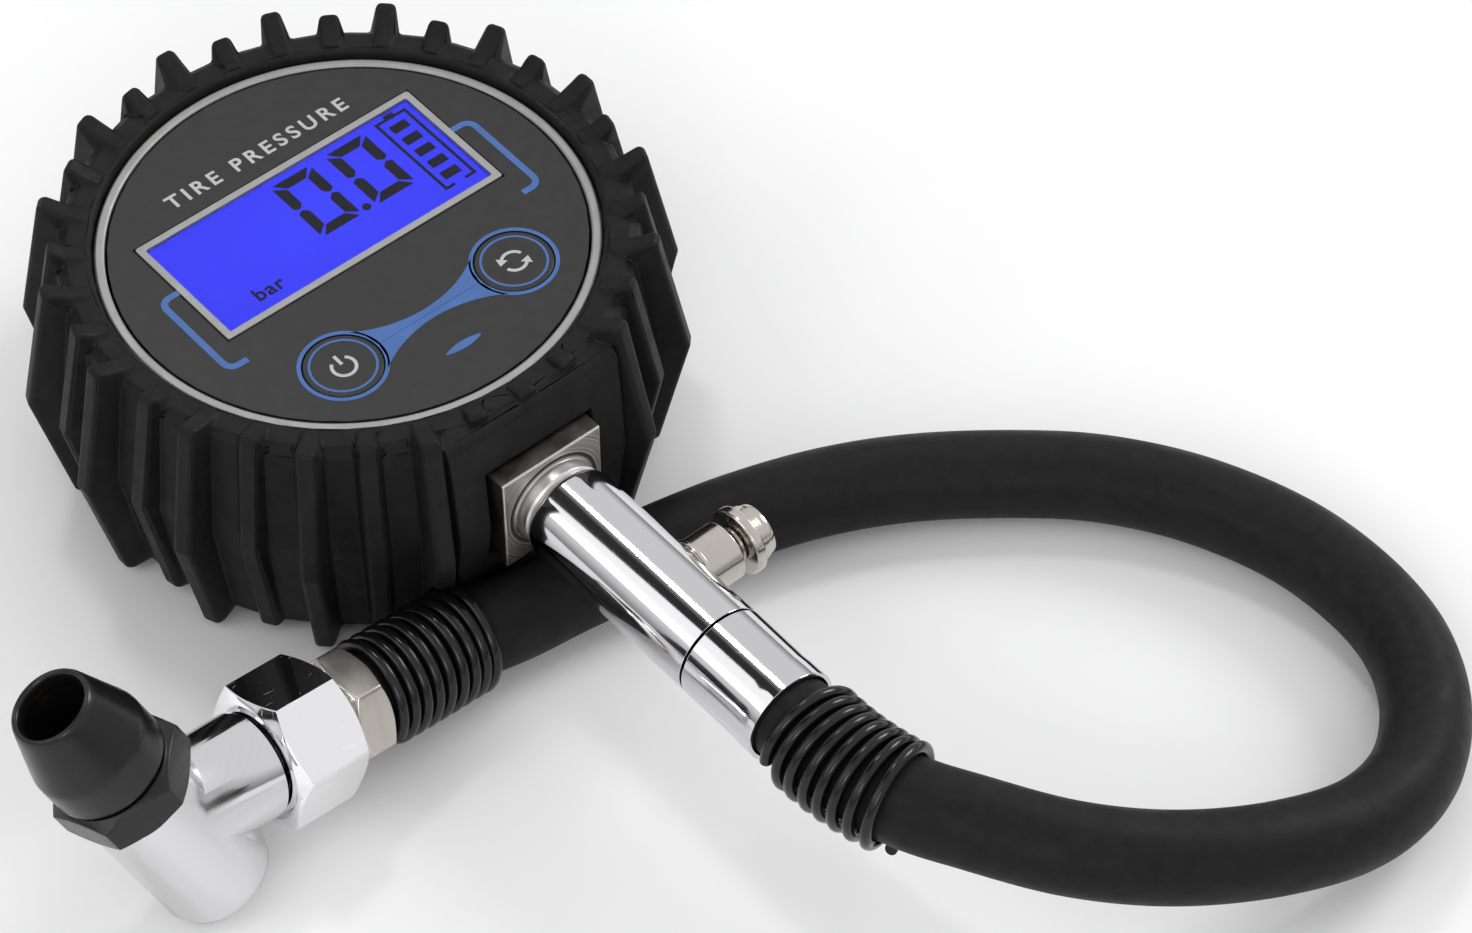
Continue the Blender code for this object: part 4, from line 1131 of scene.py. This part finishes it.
class GAUGE_OT_display(bpy.types.Operator):
    """Display frame, window, glow and the figures on it"""

    bl_idname = "gauge.display"
    bl_label = "Display"

    def execute(self, context):
        sizes = context.scene.gauge_sizes
        self.surround()
        low = (-WINDOW_X - 0.1, WINDOW_LOW_Y - 0.1, 32.1)
        high = (WINDOW_X + 0.1, WINDOW_TOP_Y + 0.1, FILM_TOP)
        bm = block(low, high, 0.03, 1)
        piece("display_glow", bm, "glow", HEAD, ["lcd_panel"])
        low = (-WINDOW_X + 0.2, WINDOW_LOW_Y + 0.2, FILM_TOP + 0.12)
        high = (WINDOW_X - 0.2, WINDOW_TOP_Y - 0.2, FACE_Z - 0.1)
        bm = block(low, high, 0.05)
        piece("display_window", bm, "clear", HEAD, ["lcd_window"])
        parts = self.digit(-1.9, sizes.segment) + self.digit(6.2, sizes.segment)
        dot = turned([(0, FIGURE_TOP), (0.56, FIGURE_TOP), (0.56, FILM_TOP), (0, FILM_TOP)], False, 32)
        parts.append(moved(dot, 5.05, 3.1))
        parts += self.battery_sign()
        piece("display_figures", merged(*parts), "segment", HEAD, crease=0)
        print_at = ((-11.8, 0.0), FILM_TOP)
        lettering("display_unit", "bar", 2.1, 1.08, 0.05, *print_at, "segment", "display_glass")
        return {"FINISHED"}

    def surround(self):
        """The silver frame round the window, with rounded corners."""
        outer = self.rounded(-20.35, 20.35, -3.75, 14.9, 0.35)
        inner = self.rounded(-WINDOW_X, WINDOW_X, WINDOW_LOW_Y, WINDOW_TOP_Y, 0.25)
        bm = bmesh.new()
        rows = []
        for outline, z in ((inner, FRAME_LOW), (inner, FRAME_TOP), (outer, FRAME_TOP), (outer, FRAME_LOW)):
            rows.append([bm.verts.new((x, y, z)) for x, y in outline])
        count = len(outer)
        for one, two in zip(rows, rows[1:] + rows[:1]):
            for k in range(count):
                bm.faces.new((one[k], one[(k + 1) % count], two[(k + 1) % count], two[k]))
        bmesh.ops.recalc_face_normals(bm, faces=bm.faces)
        round_edges(bm, 0.1, 40.0)
        piece("display_frame", bm, "trim", HEAD, ["lcd_frame"])

    def rounded(self, x0, x1, y0, y1, radius):
        """The outline of a rectangle with rounded corners."""
        points = []
        corners = ((x1, y1, 0), (x0, y1, 90), (x0, y0, 180), (x1, y0, 270))
        for x, y, angle in corners:
            inward_x = math.copysign(radius, x - (x0 + x1) / 2)
            inward_y = math.copysign(radius, y - (y0 + y1) / 2)
            points += arc((x - inward_x, y - inward_y), radius, angle, angle + 90, 6)
        return points

    def digit(self, left, wide):
        """The six lit segments of a nought, its lower left corner at left."""
        right, low, high, gap = left + 5.9, 2.55, 12.95, 0.13
        middle = (low + high) / 2
        cut = wide * 0.55
        across = [(left + gap + 0.25, high), (right - gap - 0.25, high)]
        across += [(right - wide - gap, high - wide), (left + wide + gap, high - wide)]
        upper = [(left, high - gap - 0.35), (left + wide, high - wide - gap)]
        upper += [(left + wide, middle + cut), (left + wide / 2, middle + gap)]
        upper.append((left, middle + cut * 0.7))
        shapes = [across, [(x, 2 * middle - y) for x, y in across[::-1]]]
        for flip in (False, True):
            for mirror in (False, True):
                points = [(left + right - x, y) for x, y in upper] if mirror else upper
                points = [(x, 2 * middle - y) for x, y in points] if flip else points
                shapes.append(points if flip == mirror else points[::-1])
        return [plate(points, FILM_TOP, FIGURE_TOP) for points in shapes]

    def battery_sign(self):
        """A battery's outline and its five bars, as (x, y) corners of their boxes."""
        walls = [
            (13.9, -0.95, 14.3, 13.15),
            (18.2, -0.95, 18.6, 13.15),
            (14.25, 12.75, 18.25, 13.14),
            (14.25, -0.94, 15.4, -0.55),
            (17.0, -0.94, 18.25, -0.55),
            (15.55, 13.1, 16.95, 13.65),
        ]
        walls += [(15.0, 0.43 + 2.48 * k, 17.4, 1.8 + 2.48 * k) for k in range(5)]
        return [block((x0, y0, FILM_TOP), (x1, y1, FIGURE_TOP)) for x0, y0, x1, y1 in walls]


class GAUGE_OT_stem(bpy.types.Operator):
    """Square block, chrome body and hose ferrule"""

    bl_idname = "gauge.stem"
    bl_label = "Stem"

    def execute(self, context):
        steps = context.scene.gauge_sizes.turns
        low = (-BLOCK_HALF, -BLOCK_HALF, 31.5)
        square = block(low, (BLOCK_HALF, BLOCK_HALF, BLOCK_END), 0.28, 3)
        neck = [(3.6, 46.0), (3.6, 40.0), (5.25, 39.85), (5.6, 39.5), (5.6, 37.95), (5.95, 37.7)]
        neck += [(5.95, 36.8), (1.6, 36.8), (1.6, 46.0)]
        nipple = [(5.75, 31.6), (5.75, 25.9), (5.45, 25.6), (1.6, 25.6), (1.6, 31.6)]
        # A thin black ring laid on the block's face round the neck: painted shade in the groove there
        groove_shade_ring = band(5.98, 6.45, 37.74, 37.83)
        parts = (square, turned(neck, True, steps, 0.05), turned(nipple, True, steps))
        bm = merged(*parts)
        piece("square_block", bm, "milled_block", STEM, ["stem_block"])
        piece("block_groove_painted_shade", groove_shade_ring, "moulding", STEM)
        body = [
            (1.6, BODY_END), (STEM_R, BODY_END), (STEM_R, 41.0), (STEM_R - 0.15, 40.45),
            (STEM_R - 0.5, 40.05), (STEM_R - 0.95, 39.92), (3.9, 39.9), (3.9, 46.3), (1.6, 46.3),
        ]
        mouth = [
            (2.0, FERRULE_START), (2.0, 70.3), (5.63, 70.3), (5.63, FERRULE_END),
            (FERRULE_R, FERRULE_END), (FERRULE_R, FERRULE_END - 2.2),
            (STEM_R, FERRULE_END - 3.4), (STEM_R, FERRULE_START),
        ]
        for name, profile, stands_for in (
            ("chrome_body", body, "valve_body"),
            ("chrome_ferrule", mouth, "hose_ferrule"),
        ):
            bm = turned(profile, True, steps, 0.12)
            piece(name, bm, "chrome", STEM, [stands_for])
        return {"FINISHED"}


class GAUGE_OT_bleeder(bpy.types.Operator):
    """Bleeder valve: barrel, sprung cap and its spring"""

    bl_idname = "gauge.bleeder"
    bl_label = "Bleeder valve"

    def execute(self, context):
        steps = context.scene.gauge_sizes.turns
        shell = [(1.4, 7.3), (2.95, 7.3), (2.95, 10.1), (3.68, 10.1), (3.68, 5.0), (1.4, 5.0)]
        foot = [(3.9, 5.7), (3.9, 5.2), (1.4, 5.2), (1.4, 5.7)]
        bm = merged(turned(shell, True, steps, 0.14), turned(foot[::-1], True, steps, 0.06))
        piece("bleeder_body", bm, "bleeder_nickel", BLEED, ["bleeder_barrel"])
        cap = [
            (0, 15.3), (2.55, 15.3), (3.2, 15.05), (3.35, 14.5), (3.3, 14.1), (3.6, 14.0),
            (3.6, 13.05), (4.1, 13.0), (4.3, 12.75), (4.3, 11.8), (4.1, 11.6), (0.95, 11.6),
            (0.95, 1.0), (1.7, 1.0), (1.7, 0.5), (0, 0.5),
        ]
        bm = turned(cap, False, steps, 0.07)
        piece("bleeder_cap", bm, "bleeder_nickel", BLEED, ["bleeder_button"], "bleeder")
        wire = helix(2.1, 7.75, 11.2, 1.1, BLEED)
        spring = coil("bleeder_coil", wire, 0.28, "gauge", "bleeder_spring")
        foot = (0.0077, -BLEED_Y * MM, STEM_Z * MM)
        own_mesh(spring)
        return {"FINISHED"}


class GAUGE_OT_coupling(bpy.types.Operator):
    """Hose nut and the chuck's hexagonal swivel"""

    bl_idname = "gauge.coupling"
    bl_label = "Coupling"

    def execute(self, context):
        corner = math.radians(15)
        nut = hexagon(7.5, 24.3, 29.4, 0.5, 5.63, math.radians(6) + math.pi / 6)
        piece("hose_nut", nut, "nut_nickel", TUBE, ["hose_end_nut"])
        swivel = hexagon(9.22, 13.65, 24.0, 1.4, 5.3, corner)
        # Its finish is the paler chrome copy that paints a bright reflection on the flats
        piece("swivel_hexagon", swivel, "hex_chrome_painted_reflection", TUBE, ["swivel_coupling"])
        return {"FINISHED"}


class GAUGE_OT_chuck(bpy.types.Operator):
    """The chuck: plated body with its side arm, black collar and nose, plunger and spring"""

    bl_idname = "gauge.chuck"
    bl_label = "Chuck"

    def execute(self, context):
        steps = context.scene.gauge_sizes.turns
        self.body(steps)
        collar = hexagon(8.5, 6.1, 11.1, 1.0, 3.4, math.radians(17) + math.pi / 6)
        piece("black_collar", collar, "nose", NOSE, ["nose_collar"], "chuck")
        cone = [
            (4.37, 21.6), (4.04, 22.2), (4.0, 23.3), (4.2, 23.85), (4.5, TIP), (4.8, 23.95),
            (5.02, 23.5), (5.2, 22.9), (6.95, 16.9), (7.1, 16.3), (7.14, 15.6), (7.14, 11.95),
            (6.9, 11.4), (3.4, 11.4), (3.4, 12.6), (4.37, 12.6),
        ]
        bm = turned(cone, True, steps, 0.12)
        piece("black_nose", bm, "nose", NOSE, ["nose_cone"], "chuck")
        plunger = [(0, 17.9), (0.6, 17.9), (0.9, 17.6), (0.9, 7.1), (2.7, 6.6), (2.7, 5.1), (0, 5.1)]
        bm = turned(plunger, False, STEPS_ROUND // 2, 0.08)
        piece("brass_plunger", bm, "brass", NOSE, ["chuck_plunger"], "plunger")
        wire = helix(2.2, -5.6, 4.4, 1.35, NOSE)
        spring = coil("plunger_coil", wire, 0.3, "chuck", "plunger_spring")
        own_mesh(spring)
        return {"FINISHED"}

    def body(self, steps):
        """Body and side arm, joined."""
        end = TIP - 38.0
        main = [
            (0, 5.8), (6.85, 5.8), (6.85, end + 2.2), (6.6, end + 1.2), (5.9, end + 0.45),
            (4.7, end + 0.08), (0, end),
        ]
        arm = [(0, 20.2), (4.6, 20.2), (5.0, 19.8), (5.0, 13.35)]
        arm += [(6.2, 13.35), (6.7, 12.9), (6.7, 0.0), (0, 0.0)]
        well = [(0, 9.0), (3.2, 9.0), (3.2, -6.5), (0, -6.5)]
        holder = []
        for name, bm, place in (
            ("main", turned(main, False, steps), NOSE),
            ("arm", turned(arm, False, steps), TUBE),
            ("well", turned(well, False, STEPS_ROUND // 2), NOSE),
        ):
            bmesh.ops.transform(bm, matrix=Matrix.Scale(MM, 4) @ place, verts=bm.verts)
            holder.append(solid(name, bm))
        main, arm, well = holder
        for other, operation in ((arm, "UNION"), (well, "DIFFERENCE")):
            step = main.modifiers.new(other.name, "BOOLEAN")
            step.object = other
            step.operation = operation
        made = as_mesh(main)
        for other in (arm, well):
            bpy.data.objects.remove(other)
        made.name = "chuck_casting"
        smoothed(made, 35.0)
        settle(made, "chuck", "cast_chrome", ["chuck_body"])


class GAUGE_OT_inside(bpy.types.Operator):
    """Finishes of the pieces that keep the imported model's shape"""

    bl_idname = "gauge.inside"
    bl_label = "Inside"

    def execute(self, context):
        finishes = {
            "moulding": "case_body back_cover battery_door face_plate controller_chip buzzer",
            "steel": "battery_door_screw contact_plate contact_springs pressure_sensor "
            "case_screw_1 case_screw_2 case_screw_3 case_screw_4",
            "sleeve": "battery_1 battery_2",
            "diffuser": "backlight",
            "laminate": "circuit_board",
            "seal": "sensor_seal bleeder_seal nose_seal power_switch function_switch",
        }
        for look, nodes in finishes.items():
            for one in nodes.split():
                refinish(one, look)
        return {"FINISHED"}


class GAUGE_OT_declare(bpy.types.Operator):
    bl_idname = "gauge.declare"
    bl_label = "Declare hose"

    def execute(self, context):
        return {"FINISHED"}


STEPS = "stage hose boot face display stem bleeder coupling chuck inside declare".split()


class GAUGE_PT_panel(bpy.types.Panel):
    """Lists the gauge's operators and its sizes and colours"""

    bl_idname = "GAUGE_PT_panel"
    bl_label = "Tire pressure gauge"
    bl_space_type = "VIEW_3D"
    bl_region_type = "UI"
    bl_category = "Gauge"

    def draw(self, context):
        for step in STEPS:
            self.layout.operator(f"gauge.{step}")
        for group in (context.scene.gauge_sizes, context.scene.gauge_colours):
            for name in group.bl_rna.properties.keys():
                if name not in ("rna_type", "name"):
                    self.layout.prop(group, name)


CLASSES = (
    GaugeSizes,
    GaugeColours,
    GAUGE_OT_stage,
    GAUGE_OT_hose,
    GAUGE_OT_boot,
    GAUGE_OT_face,
    GAUGE_OT_display,
    GAUGE_OT_stem,
    GAUGE_OT_bleeder,
    GAUGE_OT_coupling,
    GAUGE_OT_chuck,
    GAUGE_OT_inside,
    GAUGE_OT_declare,
    GAUGE_PT_panel,
)


def register():
    for one in CLASSES:
        bpy.utils.register_class(one)
    bpy.types.Scene.gauge_sizes = PointerProperty(type=GaugeSizes)
    bpy.types.Scene.gauge_colours = PointerProperty(type=GaugeColours)


def unregister():
    del bpy.types.Scene.gauge_colours
    del bpy.types.Scene.gauge_sizes
    for one in reversed(CLASSES):
        bpy.utils.unregister_class(one)


def main():
    register()
    for step in STEPS:
        getattr(bpy.ops.gauge, step)()
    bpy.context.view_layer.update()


if __name__ == "__main__":
    main()
